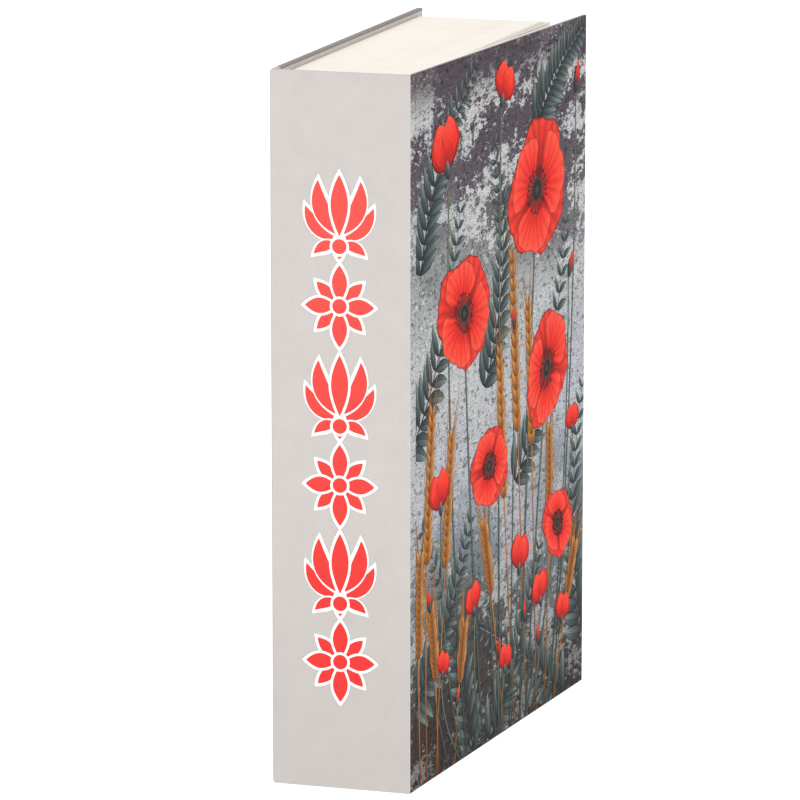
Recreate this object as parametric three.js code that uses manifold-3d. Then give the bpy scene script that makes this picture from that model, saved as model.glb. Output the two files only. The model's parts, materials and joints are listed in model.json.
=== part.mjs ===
// A book diversion safe: a hardback case whose page block holds a sheet steel cash box.
// Millimetres, +Z up. The book stands on its tail with the spine facing -Y, the front cover on the +X
// side and the fore-edge at +Y. The origin is the middle of the spine's tail edge.
// The front cover stands a little ajar, and the leaves fan a little behind it.
import * as THREE from 'three';
import { mergeVertices } from 'three/addons/utils/BufferGeometryUtils.js';
import Module from 'manifold-3d';

const wasm = await Module();
wasm.setup();

// Driving dimensions of the book
const bookHeight = 250;
const bookDepth = 170;
const bookThickness = 50;
const coverAjar = THREE.MathUtils.degToRad(4.9);
const blockFan = THREE.MathUtils.degToRad(1.45);

// Binding: boards, the paper that covers them and the glue lines between the layers
const board = 1.2;
const paper = 0.25;
const glueLine = 0.05;
const pastedown = 0.15;
const pastedownMargin = 0.9;
const turnIn = 13;
const headSquare = 2.5;
const foreSquare = 4.9;
const spineCornerRadius = 1;
const spineReturn = 2.4;
const spineLining = 0.3;
const liningInset = 3;

// Flexible joint of the front cover, between its crease at the spine and its crease at the board
const jointWidth = 5;
const jointSheet = 0.45;
const creaseGap = 0.3;

// Page block: an uncut gathering behind the box, then gatherings with a window
const baseGathering = 3;
const cutGatherings = 4;
const gatheringGap = 0.15;
const blockFrontRelief = 0.25;
const headPageWall = 14.3;
const forePageWall = 13;
const spinePageWall = 10;
const windowGap = 0.3;
const windowRadius = 4;

// Cash box of sheet steel
const traySheet = 1;
const trayCornerRadius = 6;
const trayFootRadius = 3;
const lidRecess = 2.2;
const lidSheet = 1;
const lidGap = 0.2;
const lidSetback = 0.3;
const skirtDepth = 5;
const skirtSheet = 0.9;
const skirtGap = 0.5;
const skirtStart = 2;
const panelMargin = 12;
const panelStep = 0.8;
const panelSlope = 1.2;
const panelRadius = 9;

// Piano hinge of the lid
const barrelRadius = 2;
const pinRadius = 1;
const pinClearance = 0.06;
const pinHead = 0.8;
const leafSheet = 0.8;
const leafWidth = 13;
const hingeInset = 13;
const knuckles = 15;
const knuckleGap = 0.4;
const barrelClearance = 0.35;
const slotClearance = 0.6;
const hingeRivets = 4;
const rivetShank = 1.5;
const rivetHole = 1.6;
const rivetHeadRadius = 2.8;
const rivetHeadHeight = 0.7;
const rivetTailRadius = 2.4;
const rivetTailHeight = 0.5;
const rivetPlay = 0.03;

// Cam lock in the lid
const lockSetback = 24;
const lockFlangeRadius = 9.5;
const lockFlange = 1.8;
const lockFlangeBevel = 0.6;
const lockBarrelRadius = 7;
const lockBarrel = 14;
const lockFlats = 12.4;
const lockPlay = 0.1;
const plugRadius = 4.5;
const plugShoulderRadius = 5.9;
const plugShoulder = 1.2;
const plugClearance = 0.09;
const plugRecess = 0.2;
const keywayWidth = 1.9;
const keywayHeight = 7;
const keywayDepth = 9;
const keywayWard = 0.7;
const nutAcrossFlats = 17.5;
const nutThickness = 3;
const nutChamfer = 0.5;
const washerRadius = 9.2;
const washerThickness = 0.6;
const washerTeeth = 12;
const washerTooth = 0.9;
const camThickness = 2;
const camGap = 0.35;
const camWidth = 10;
const camHubRadius = 6.6;
const camReach = 21.5;
const tangSide = 4.6;
const screwShankRadius = 1.3;
const screwHeadRadius = 3.8;
const screwHeadHeight = 1.9;
const screwDepth = 8;
const screwSlot = 0.9;
const screwSlotDepth = 0.8;

// Strike: the angle welded inside the tray that the cam turns under
const strikeSheet = 1.2;
const strikeWidth = 26;
const strikeLedge = 9;
const strikeLeg = 7.2;
const strikeGap = 0.5;
const strikeCornerRadius = 2.5;

// How finely round things are cut, and how far a cut runs past what it cuts
const overrun = 1;
const arcSteps = 5;
const footSteps = 5;
const barrelSteps = 20;
const lockSteps = 32;
const rivetSteps = 12;
const hexSides = 6;

// Sizes worked out from the ones above
const half = 1 / 2;
const quarter = Math.PI * half;
const wholeTurn = Math.PI + Math.PI;
const boardRoom = board + glueLine + glueLine;
const coverEdge = paper + boardRoom + paper;
const coverInside = coverEdge + glueLine + pastedown;
const halfThickness = bookThickness * half;
const blockTail = headSquare;
const blockHead = bookHeight - headSquare;
const blockSpine = coverEdge + glueLine + spineLining + glueLine;
const blockFore = bookDepth - foreSquare;
const blockBack = -halfThickness + coverInside + glueLine;
const blockFront = halfThickness - coverEdge - blockFrontRelief;
const boardHinge = jointWidth + creaseGap * half;

const trayFloor = blockBack + baseGathering + glueLine;
const traySpine = blockSpine + spinePageWall + slotClearance + barrelRadius + barrelRadius;
const trayFore = blockFore - forePageWall - windowGap;
const trayTail = blockTail + headPageWall + windowGap;
const trayWidth = trayFore - traySpine;
const trayLength = bookHeight - trayTail - trayTail;
const halfTray = trayLength * half;

// Levels inside the cash box, counted from the tray's floor towards the lid
const leafTop = blockFront - lidRecess - trayFloor;
const pinLevel = leafTop - barrelRadius;
const lidTop = leafTop - leafSheet;
const lidUnder = lidTop - lidSheet;
const trayRim = lidUnder - lidGap;
const panelTop = lidTop - panelStep;
const panelUnder = lidUnder - panelStep;
const pinAcross = -barrelRadius;

const lockAcross = trayWidth - traySheet - lockSetback;
const lockLevel = panelTop + plugClearance;
const lockBarrelEnd = lockLevel - lockBarrel;
const camTop = lockBarrelEnd - camGap;
const strikeUnder = camTop + strikeGap;
const strikeTop = strikeUnder + strikeSheet;
const throughLid = leafTop + overrun;

const hingeLength = trayLength - hingeInset - hingeInset;
const knucklePitch = hingeLength / knuckles;
const rivetRun = hingeLength / hingeRivets;
const leafMiddle = (leafWidth + barrelRadius) * half;

// Materials
const finish = (color, roughness, metalness) =>
  new THREE.MeshStandardMaterial({ color, roughness, metalness });
const greyboard = finish('#8d8477', 0.95, 0);
const spinePaper = finish('#d5d1cc', 0.75, 0);
const coverPaper = finish('#5c545a', 0.6, 0);
const endpaper = finish('#e6e1d8', 0.85, 0);
const bookCloth = finish('#d8cfc0', 0.9, 0);
const leafPaper = finish('#f6efe2', 0.9, 0);
const enamel = finish('#2d2f32', 0.5, 0.2);
const zincSteel = finish('#b9bcbf', 0.35, 1);
const chromePlate = finish('#d9dadb', 0.18, 1);
const brass = finish('#c9a85a', 0.3, 1);

// The two turns that only rename the axes. The first takes X to Y, Y to Z and Z to X, so what is
// drawn flat and carried along Z runs along X. The second takes Z to Y, and Y to X as a lathe needs.
const alongX = new THREE.Matrix4().makeBasis(
  new THREE.Vector3(0, 1, 0), new THREE.Vector3(0, 0, 1), new THREE.Vector3(1, 0, 0));
const alongY = new THREE.Matrix4().makeBasis(
  new THREE.Vector3(0, 0, 1), new THREE.Vector3(1, 0, 0), new THREE.Vector3(0, 1, 0));

// A closed geometry as a solid that can be joined and cut
function solidOf(geometry) {
  const bare = geometry.clone();
  bare.deleteAttribute('normal');
  bare.deleteAttribute('uv');
  const merged = mergeVertices(bare);
  const index = merged.getIndex().array;
  const corners = [];
  for (let i = 0; i < index.length; i += 3) {
    const [a, b, c] = index.slice(i, i + 3);
    if (a !== b && b !== c && c !== a) corners.push(a, b, c);
  }
  return new wasm.Manifold(new wasm.Mesh({
    numProp: 3,
    vertProperties: new Float32Array(merged.getAttribute('position').array),
    triVerts: new Uint32Array(corners),
  }));
}

function geometryOf(solid) {
  const { vertProperties, triVerts } = solid.getMesh();
  const geometry = new THREE.BufferGeometry();
  geometry.setAttribute('position', new THREE.BufferAttribute(vertProperties, 3));
  geometry.setIndex(new THREE.BufferAttribute(triVerts, 1));
  geometry.computeVertexNormals();
  return geometry;
}

// A named piece in its group, at a place and turned about Z
function addPiece(parent, name, solid, material, place = [0, 0, 0], turn = 0) {
  const mesh = new THREE.Mesh(geometryOf(solid), material);
  mesh.name = name;
  mesh.position.set(...place);
  mesh.rotation.z = turn;
  parent.add(mesh);
}

const joined = (solids) => solids.reduce((whole, next) => whole.add(next));
const cutBy = (solid, cutters) => cutters.reduce((left, next) => left.subtract(next), solid);
const shifted = (solid, x, y, z) => solid.translate([x, y, z]);

// A box between two values along each axis, given in either order
function block([x0, x1], [y0, y1], [z0, z1]) {
  const geometry = new THREE.BoxGeometry(Math.abs(x1 - x0), Math.abs(y1 - y0), Math.abs(z1 - z0));
  return solidOf(geometry.translate((x0 + x1) * half, (y0 + y1) * half, (z0 + z1) * half));
}

// A flat shape carried along an axis: drawn in X, Y for Z, in Y, Z for X and in Z, X for Y
function prism(shape, from, to, turn, steps = arcSteps) {
  const geometry = new THREE.ExtrudeGeometry(
    shape, { depth: to - from, bevelEnabled: false, curveSegments: steps });
  geometry.translate(0, 0, from);
  if (turn) geometry.applyMatrix4(turn);
  return solidOf(geometry);
}

// A round bar between two levels along Z, or along the axis that the turn gives
function bar(radius, from, to, steps, turn) {
  const shape = new THREE.Shape();
  for (let i = 0; i < steps; i += 1) {
    const angle = wholeTurn * i / steps;
    const [x, y] = [radius * Math.cos(angle), radius * Math.sin(angle)];
    if (i === 0) shape.moveTo(x, y);
    else shape.lineTo(x, y);
  }
  return prism(shape, from, to, turn);
}

// A profile of [radius, level] pairs, from low to high, turned about the X axis
function turned(profile, steps) {
  const points = profile.map(([radius, level]) => new THREE.Vector2(radius, level));
  return solidOf(new THREE.LatheGeometry(points, steps).applyMatrix4(alongY));
}

// The outline of a rectangle with round corners, counter-clockwise
function roundedOutline(x0, x1, y0, y1, radius) {
  const outline = new THREE.Shape();
  outline.absarc(x1 - radius, y0 + radius, radius, -quarter, 0);
  outline.absarc(x1 - radius, y1 - radius, radius, 0, quarter);
  outline.absarc(x0 + radius, y1 - radius, radius, quarter, Math.PI);
  outline.absarc(x0 + radius, y0 + radius, radius, Math.PI, Math.PI + quarter);
  return outline;
}

// A closed skin over outlines at rising levels along X, each drawn in Y, Z with as many points
function lofted(rings) {
  const count = rings[0].points.length;
  const positions = rings.flatMap(({ points, level }) => points.flatMap((p) => [level, p.x, p.y]));
  const index = [];
  for (let ring = 0; ring + 1 < rings.length; ring += 1) {
    for (let i = 0; i < count; i += 1) {
      const next = (i + 1) % count;
      const [a, b] = [ring * count + i, ring * count + next];
      index.push(a, b, b + count, a, b + count, a + count);
    }
  }
  const last = (rings.length - 1) * count;
  for (const [a, b, c] of THREE.ShapeUtils.triangulateShape(rings[0].points, [])) {
    index.push(c, b, a);
  }
  for (const [a, b, c] of THREE.ShapeUtils.triangulateShape(rings[rings.length - 1].points, [])) {
    index.push(last + a, last + b, last + c);
  }
  const geometry = new THREE.BufferGeometry();
  geometry.setAttribute('position', new THREE.Float32BufferAttribute(positions, 3));
  geometry.setIndex(index);
  return solidOf(geometry);
}

// One ring of the cash box: its plan drawn in by an inset, at a level above the tray's floor
function boxRing(inset, level, radius = trayCornerRadius - inset) {
  const outline = roundedOutline(inset, trayWidth - inset, inset - halfTray, halfTray - inset, radius);
  return { points: outline.getPoints(arcSteps), level };
}

// Paper round a board: one outer sheet, turned over head, tail and fore-edge and glued down inside.
// The outer face is at X zero and inward says which way the board lies.
function coverWrap(inward, hingeEdge) {
  const outside = block([0, inward * coverEdge], [hingeEdge, bookDepth], [0, bookHeight]);
  const pocket = block(
    [inward * paper, inward * (paper + boardRoom)],
    [hingeEdge - overrun, bookDepth - paper],
    [paper, bookHeight - paper]);
  const opening = block(
    [inward * (paper + board), inward * (coverEdge + overrun)],
    [hingeEdge - overrun, bookDepth - turnIn],
    [turnIn, bookHeight - turnIn]);
  return cutBy(outside, [pocket, opening]);
}

function coverBoard(inward, hingeEdge) {
  const under = paper + glueLine;
  return block(
    [inward * under, inward * (under + board)],
    [hingeEdge, bookDepth - under],
    [under, bookHeight - under]);
}

// The endpaper glued down over the board and the turned-in edges
function coverPastedown(inward, hingeEdge) {
  const start = coverEdge + glueLine;
  return block(
    [inward * start, inward * (start + pastedown)],
    [hingeEdge, bookDepth - pastedownMargin],
    [pastedownMargin, bookHeight - pastedownMargin]);
}

function addBackCover(book) {
  const cover = new THREE.Group();
  cover.position.x = -halfThickness;
  addPiece(cover, 'back_cover_wrap', coverWrap(1, spineReturn), coverPaper);
  addPiece(cover, 'back_cover_board', coverBoard(1, spineReturn), greyboard);
  addPiece(cover, 'back_pastedown', coverPastedown(1, spineReturn), endpaper);
  book.add(cover);
}

// Everything outside the crease at the spine stands ajar, turned about that crease
function addFrontCover(book) {
  const cover = new THREE.Group();
  cover.position.x = halfThickness;
  cover.rotation.z = -coverAjar;
  const sheetStart = paper + creaseGap;
  const jointStrip = block([0, -jointSheet], [sheetStart, jointWidth - creaseGap * half], [0, bookHeight]);
  addPiece(cover, 'front_joint_strip', jointStrip, bookCloth);
  addPiece(cover, 'front_cover_wrap', coverWrap(-1, boardHinge), coverPaper);
  addPiece(cover, 'front_cover_board', coverBoard(-1, boardHinge), greyboard);
  addPiece(cover, 'front_pastedown', coverPastedown(-1, boardHinge), endpaper);
  book.add(cover);
}

// The spine's paper in plan: rounded at the back corner, with a short return onto the back cover
function spinePlan() {
  const plan = new THREE.Shape();
  plan.moveTo(halfThickness, 0);
  plan.lineTo(halfThickness, coverEdge);
  plan.lineTo(paper - halfThickness, coverEdge);
  plan.lineTo(paper - halfThickness, spineReturn);
  plan.lineTo(-halfThickness, spineReturn);
  plan.lineTo(-halfThickness, spineCornerRadius);
  plan.absarc(spineCornerRadius - halfThickness, spineCornerRadius, spineCornerRadius,
    Math.PI, Math.PI + quarter);
  return plan;
}

function addSpine(book) {
  const under = paper + glueLine;
  const pocketPlan = new THREE.Shape();
  const innerRadius = spineCornerRadius - paper;
  pocketPlan.moveTo(halfThickness + overrun, paper);
  pocketPlan.lineTo(halfThickness + overrun, paper + boardRoom);
  pocketPlan.lineTo(paper - halfThickness, paper + boardRoom);
  pocketPlan.lineTo(paper - halfThickness, spineCornerRadius);
  pocketPlan.absarc(spineCornerRadius - halfThickness, spineCornerRadius, innerRadius,
    Math.PI, Math.PI + quarter);
  const boardFrom = spineCornerRadius - halfThickness;
  const boardTo = halfThickness - jointSheet - creaseGap;
  const opening = block(
    [paper - halfThickness, halfThickness + overrun],
    [paper + board, coverEdge + overrun],
    [turnIn, bookHeight - turnIn]);
  const besideJoint = block(
    [boardTo, halfThickness + overrun], [paper, coverEdge + overrun], [-overrun, bookHeight + overrun]);
  const wrap = cutBy(prism(spinePlan(), 0, bookHeight), [
    prism(pocketPlan, paper, bookHeight - paper),
    opening,
    besideJoint,
  ]);
  addPiece(book, 'spine_wrap', wrap, spinePaper);

  const spineBoard = block(
    [boardFrom, boardTo], [under, under + board], [under, bookHeight - under]);
  addPiece(book, 'spine_board', spineBoard, greyboard);

  const liningStart = coverEdge + glueLine;
  const lining = block(
    [blockBack, blockFront], [liningStart, liningStart + spineLining],
    [blockTail + liningInset, blockHead - liningInset]);
  addPiece(book, 'spine_lining', lining, bookCloth);
}

// One gathering in plan, between two shares of the stack's thickness. The leaves fan more towards the
// front cover, so a leaf's fan at the fore-edge goes with the cube of its share.
function gatheringPlan(fromShare, toShare) {
  const stackBack = blockBack + baseGathering + gatheringGap;
  const stack = blockFront - stackBack;
  const fan = Math.tan(blockFan) * (blockFore - blockSpine);
  const atFore = (share) => stackBack + stack * share + fan * share * share * share;
  const plan = new THREE.Shape();
  plan.moveTo(stackBack + stack * fromShare, blockSpine);
  plan.lineTo(stackBack + stack * toShare - gatheringGap, blockSpine);
  plan.lineTo(atFore(toShare) - gatheringGap, blockFore);
  plan.lineTo(atFore(fromShare), blockFore);
  return plan;
}

// The leaves: an uncut gathering behind the box and cut ones round it, with room for the hinge barrel
function addPageBlock(book) {
  const base = block(
    [blockBack, blockBack + baseGathering], [blockSpine, blockFore], [blockTail, blockHead]);
  addPiece(book, 'base_gathering', base, leafPaper);

  const windowPlan = roundedOutline(
    traySpine - barrelRadius - barrelRadius - slotClearance, trayFore + windowGap,
    trayTail - windowGap, bookHeight - trayTail + windowGap, windowRadius);
  const window = prism(windowPlan, blockBack, halfThickness + bookThickness, alongX);
  for (let i = 0; i < cutGatherings; i += 1) {
    const leaves = prism(gatheringPlan(i / cutGatherings, (i + 1) / cutGatherings), blockTail, blockHead);
    addPiece(book, `cut_gathering_${i + 1}`, leaves.subtract(window), leafPaper);
  }
}

// The places of the hinge rivets along Z, from the middle of the box
const rivetPlaces = Array.from({ length: hingeRivets }, (_, i) => (i + half) * rivetRun - hingeLength * half);

// The tray: a drawn pan with round corners and a round foot, open towards the lid
function trayBody() {
  const shell = (inset, floor) => {
    const rings = [];
    for (let i = 0; i <= footSteps; i += 1) {
      const angle = quarter * i / footSteps;
      const radius = trayFootRadius - inset;
      const draw = radius * (1 - Math.sin(angle));
      rings.push(boxRing(inset + draw, floor + radius * (1 - Math.cos(angle))));
    }
    return rings;
  };
  const outside = [...shell(0, 0), boxRing(0, trayRim)];
  const inside = [...shell(traySheet, traySheet), boxRing(traySheet, trayRim + overrun)];
  const holes = rivetPlaces.map((z) =>
    shifted(bar(rivetHole, -overrun, traySheet + overrun, rivetSteps, alongY), pinLevel - leafMiddle, 0, z));
  return cutBy(lofted(outside), [lofted(inside), ...holes]);
}

// The lid: a flat sheet that laps the rim, pressed in at its middle, with a skirt inside the tray
function lidBody() {
  const sheet = lofted([boxRing(0, lidUnder), boxRing(0, lidTop)]);
  const edge = block([0, leafTop], [-overrun, lidSetback], [-trayLength, trayLength]);
  const pressedIn = lofted([
    boxRing(panelMargin + panelSlope, panelTop, panelRadius - panelSlope),
    boxRing(panelMargin, lidTop, panelRadius),
    boxRing(panelMargin, lidTop + overrun, panelRadius),
  ]);
  const pressedOut = lofted([
    boxRing(panelMargin + panelSlope, panelUnder, panelRadius - panelSlope),
    boxRing(panelMargin, lidUnder, panelRadius),
    boxRing(panelMargin, lidUnder + lidSheet * half, panelRadius),
  ]);
  const skirtInset = traySheet + skirtGap;
  const skirt = lofted([boxRing(skirtInset, lidUnder - skirtDepth), boxRing(skirtInset, lidTop - glueLine)])
    .subtract(lofted([
      boxRing(skirtInset + skirtSheet, lidUnder - skirtDepth - overrun),
      boxRing(skirtInset + skirtSheet, leafTop),
    ]))
    .subtract(block([0, leafTop], [0, leafWidth + skirtStart], [-trayLength, trayLength]));
  const flats = block([0, throughLid], [-lockFlats * half - lockPlay, lockFlats * half + lockPlay],
    [-bookHeight, bookHeight]);
  const lockHole = bar(lockBarrelRadius + lockPlay, 0, throughLid, lockSteps, alongX).intersect(flats);
  const rivetHoles = rivetPlaces.map((z) =>
    shifted(bar(rivetHole, 0, throughLid, rivetSteps, alongX), 0, leafMiddle + pinAcross, z));
  return cutBy(joined([cutBy(sheet, [edge]), pressedOut, skirt]),
    [pressedIn, shifted(lockHole, 0, lockAcross, 0), ...rivetHoles]);
}

// One leaf of the piano hinge, about its pin along Z at the origin. It is drawn flat towards +Y with
// its outer face at +X, and has the knuckles whose number is odd or even.
function hingeLeaf(firstKnuckle) {
  const sheetFrom = barrelRadius - leafSheet;
  const flatFrom = barrelRadius + barrelClearance;
  const solids = [
    block([sheetFrom, barrelRadius], [flatFrom, leafWidth], [-hingeLength * half, hingeLength * half]),
  ];
  for (let i = firstKnuckle; i < knuckles; i += 2) {
    const from = i * knucklePitch - hingeLength * half + knuckleGap * half;
    const to = from + knucklePitch - knuckleGap;
    solids.push(bar(barrelRadius, from, to, barrelSteps));
    solids.push(block([sheetFrom, barrelRadius], [0, flatFrom + leafSheet], [from, to]));
  }
  const bore = bar(pinRadius + pinClearance, -trayLength, trayLength, barrelSteps);
  const holes = rivetPlaces.map((z) =>
    shifted(bar(rivetHole, 0, leafWidth, rivetSteps, alongX), 0, leafMiddle, z));
  return cutBy(joined(solids), [bore, ...holes]);
}

// A rivet along X with its head above level zero and its tail below the sheets that it holds
function rivet(grip) {
  const headCrown = rivetHeadHeight * half;
  const low = -grip - rivetPlay;
  return turned([
    [0, low - rivetTailHeight],
    [rivetTailRadius - rivetTailHeight * half, low - rivetTailHeight],
    [rivetTailRadius, low],
    [rivetShank, low],
    [rivetShank, rivetPlay],
    [rivetHeadRadius, rivetPlay],
    [rivetHeadRadius - headCrown * half, rivetPlay + headCrown],
    [rivetHeadRadius - headCrown - headCrown, rivetPlay + rivetHeadHeight],
    [0, rivetPlay + rivetHeadHeight],
  ], rivetSteps);
}

// The hinge: a leaf on the tray's spine wall, a leaf on the lid, and the pin in their knuckles
function addHinge(box) {
  const hinge = new THREE.Group();
  hinge.position.set(pinLevel, pinAcross, 0);
  addPiece(hinge, 'hinge_leaf_lid', hingeLeaf(1), zincSteel);
  addPiece(hinge, 'hinge_leaf_tray', hingeLeaf(0), zincSteel, [0, 0, 0], quarter);
  const pinEnd = hingeLength * half + knuckleGap;
  const pin = joined([
    bar(pinRadius, -pinEnd, pinEnd, barrelSteps),
    bar(barrelRadius, pinEnd, pinEnd + pinHead, barrelSteps),
    bar(barrelRadius, -pinEnd - pinHead, -pinEnd, barrelSteps),
  ]);
  addPiece(hinge, 'hinge_pin', pin, zincSteel);
  rivetPlaces.forEach((z, i) => {
    addPiece(hinge, `lid_rivet_${i + 1}`, rivet(leafSheet + lidSheet), zincSteel,
      [barrelRadius, leafMiddle, z]);
    addPiece(hinge, `tray_rivet_${i + 1}`, rivet(leafSheet + traySheet), zincSteel,
      [-leafMiddle, barrelRadius - leafSheet, z], -quarter);
  });
  box.add(hinge);
}

// The lock's body: a bevelled flange on the lid and a barrel with two flats through it
function lockBody() {
  const flange = turned([
    [0, 0],
    [lockFlangeRadius, 0],
    [lockFlangeRadius, lockFlange - lockFlangeBevel],
    [lockFlangeRadius - lockFlangeBevel, lockFlange],
    [0, lockFlange],
  ], lockSteps);
  const barrel = bar(lockBarrelRadius, -lockBarrel, overrun, lockSteps, alongX).intersect(
    block([-lockBarrel, overrun], [-lockFlats * half, lockFlats * half], [-bookHeight, bookHeight]));
  const bore = bar(plugRadius + plugClearance, -lockBarrel - overrun, lockFlange + overrun, lockSteps, alongX);
  const seat = bar(plugShoulderRadius + plugClearance, lockFlange - plugRecess - plugShoulder - plugClearance,
    lockFlange + overrun, lockSteps, alongX);
  return cutBy(joined([flange, barrel]), [bore, seat]);
}

// A hexagon nut along X with both rims chamfered
function hexNut() {
  const cornerRadius = nutAcrossFlats * half / Math.cos(Math.PI / hexSides);
  const hexagon = bar(cornerRadius, 0, nutThickness, hexSides, alongX);
  const rims = turned([
    [0, 0],
    [cornerRadius - nutChamfer, 0],
    [cornerRadius + nutChamfer * half, nutChamfer],
    [cornerRadius + nutChamfer * half, nutThickness - nutChamfer],
    [cornerRadius - nutChamfer, nutThickness],
    [0, nutThickness],
  ], lockSteps);
  const hole = bar(lockBarrelRadius + lockPlay, -overrun, nutThickness + overrun, lockSteps, alongX);
  return hexagon.intersect(rims).subtract(hole);
}

// A lock washer with outward teeth
function toothedWasher() {
  const outline = new THREE.Shape();
  const corners = washerTeeth * 4;
  for (let i = 0; i < corners; i += 1) {
    const angle = wholeTurn * i / corners;
    const radius = i % 4 < 2 ? washerRadius : washerRadius - washerTooth;
    const [y, z] = [radius * Math.cos(angle), radius * Math.sin(angle)];
    if (i === 0) outline.moveTo(y, z);
    else outline.lineTo(y, z);
  }
  const hole = bar(lockBarrelRadius + lockPlay, -overrun, washerThickness + overrun, lockSteps, alongX);
  return prism(outline, 0, washerThickness, alongX).subtract(hole);
}

// The plug: a shouldered cylinder with a warded keyway, and a square tang that carries the cam
function lockPlug() {
  const face = lockFlange - plugRecess;
  const body = turned([
    [0, -lockBarrel],
    [plugRadius, -lockBarrel],
    [plugRadius, face - plugShoulder],
    [plugShoulderRadius, face - plugShoulder],
    [plugShoulderRadius, face],
    [0, face],
  ], lockSteps);
  const halfTang = tangSide * half;
  const tang = block([-lockBarrel - camGap - camThickness + plugClearance, plugShoulder - lockBarrel],
    [-halfTang, halfTang], [-halfTang, halfTang]);
  const slotFrom = face - keywayDepth;
  const upper = block([slotFrom, face + overrun],
    [-keywayWidth * half, keywayWidth * half], [-keywayWard, keywayHeight * half]);
  const lower = block([slotFrom, face + overrun],
    [-keywayWidth * half - keywayWard, keywayWidth * half - keywayWard], [-keywayHeight * half, keywayWard]);
  const screwHole = bar(screwShankRadius + plugClearance,
    -lockBarrel - camGap - camThickness - overrun, screwDepth - lockBarrel - camThickness, rivetSteps, alongX);
  return cutBy(joined([body, tang]), [upper, lower, screwHole]);
}

// The cam: a flat finger with a round hub and tip and a square hole, pointing up when unlocked
function lockCam() {
  const outline = new THREE.Shape();
  const halfWidth = camWidth * half;
  const start = Math.acos(halfWidth / camHubRadius);
  outline.absarc(0, 0, camHubRadius, Math.PI - start, Math.PI + Math.PI + start);
  outline.lineTo(halfWidth, camReach - halfWidth);
  outline.absarc(0, camReach - halfWidth, halfWidth, 0, Math.PI);
  const hole = tangSide * half + plugClearance;
  return prism(outline, 0, camThickness, alongX, lockSteps * half).subtract(
    block([-overrun, camThickness + overrun], [-hole, hole], [-hole, hole]));
}

// The screw that holds the cam: a slotted pan head below the cam and a shank in the tang
function camScrew() {
  const crown = screwHeadHeight * half;
  const body = turned([
    [0, -screwHeadHeight],
    [screwHeadRadius - crown, -screwHeadHeight],
    [screwHeadRadius, -crown],
    [screwHeadRadius, 0],
    [screwShankRadius, 0],
    [screwShankRadius, screwDepth - camThickness],
    [0, screwDepth - camThickness],
  ], rivetSteps + rivetSteps);
  return body.subtract(block([-screwHeadHeight - overrun, screwSlotDepth - screwHeadHeight],
    [-screwSlot * half, screwSlot * half], [-screwHeadRadius - overrun, screwHeadRadius + overrun]));
}

function addLock(box) {
  const lock = new THREE.Group();
  lock.position.set(lockLevel, lockAcross, 0);
  addPiece(lock, 'lock_body', lockBody(), chromePlate);
  addPiece(lock, 'lock_plug', lockPlug(), brass);
  const washerTop = -lidSheet - plugClearance - plugClearance;
  addPiece(lock, 'lock_washer', shifted(toothedWasher(), washerTop - washerThickness, 0, 0), zincSteel);
  const nutTop = washerTop - washerThickness - plugClearance;
  addPiece(lock, 'lock_nut', shifted(hexNut(), nutTop - nutThickness, 0, 0), zincSteel);
  addPiece(lock, 'lock_cam', shifted(lockCam(), -lockBarrel - camGap - camThickness, 0, 0), zincSteel);
  const screwSeat = -lockBarrel - camGap - camThickness - plugClearance;
  addPiece(lock, 'cam_screw', shifted(camScrew(), screwSeat, 0, 0), zincSteel);
  box.add(lock);
}

// The strike: an angle inside the tray's fore wall, whose ledge the locked cam pulls against
function addStrike(box) {
  const wall = trayWidth - traySheet;
  const halfWidth = strikeWidth * half;
  const ledgePlan = roundedOutline(
    wall - strikeLedge, wall + strikeLedge, -halfWidth, halfWidth, strikeCornerRadius);
  const insideTray = block([0, trayRim], [0, wall], [-halfTray, halfTray]);
  const ledge = prism(ledgePlan, strikeUnder, strikeTop, alongX).intersect(insideTray);
  const leg = block([strikeUnder, strikeUnder + strikeLeg], [wall - strikeSheet, wall], [-halfWidth, halfWidth]);
  addPiece(box, 'lock_strike', joined([ledge, leg]), zincSteel);
}

function addCashBox(book) {
  const box = new THREE.Group();
  box.position.set(trayFloor, traySpine, bookHeight * half);
  addPiece(box, 'cash_box_tray', trayBody(), enamel);
  addPiece(box, 'cash_box_lid', lidBody(), enamel);
  addHinge(box);
  addStrike(box);
  addLock(box);
  book.add(box);
}

const book = new THREE.Group();
book.position.y = -coverEdge * half;
addSpine(book);
addBackCover(book);
addFrontCover(book);
addPageBlock(book);
addCashBox(book);

export default book;
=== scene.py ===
"""Book diversion safe: a hardback whose page block hides a steel cash box.

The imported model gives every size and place. This file gives the looks: the printed paper over the
boards, the leaves, the flexible joint of the front cover, and the enamel, zinc, chrome and brass of
the box, its piano hinge and its cam lock.
"""
import functools
import itertools
import json
import math
import random

import bmesh
import bpy
from bpy.types import Node, NodeSocket, Operator, Panel, PropertyGroup, Scene
from mathutils import Matrix, Vector

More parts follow.
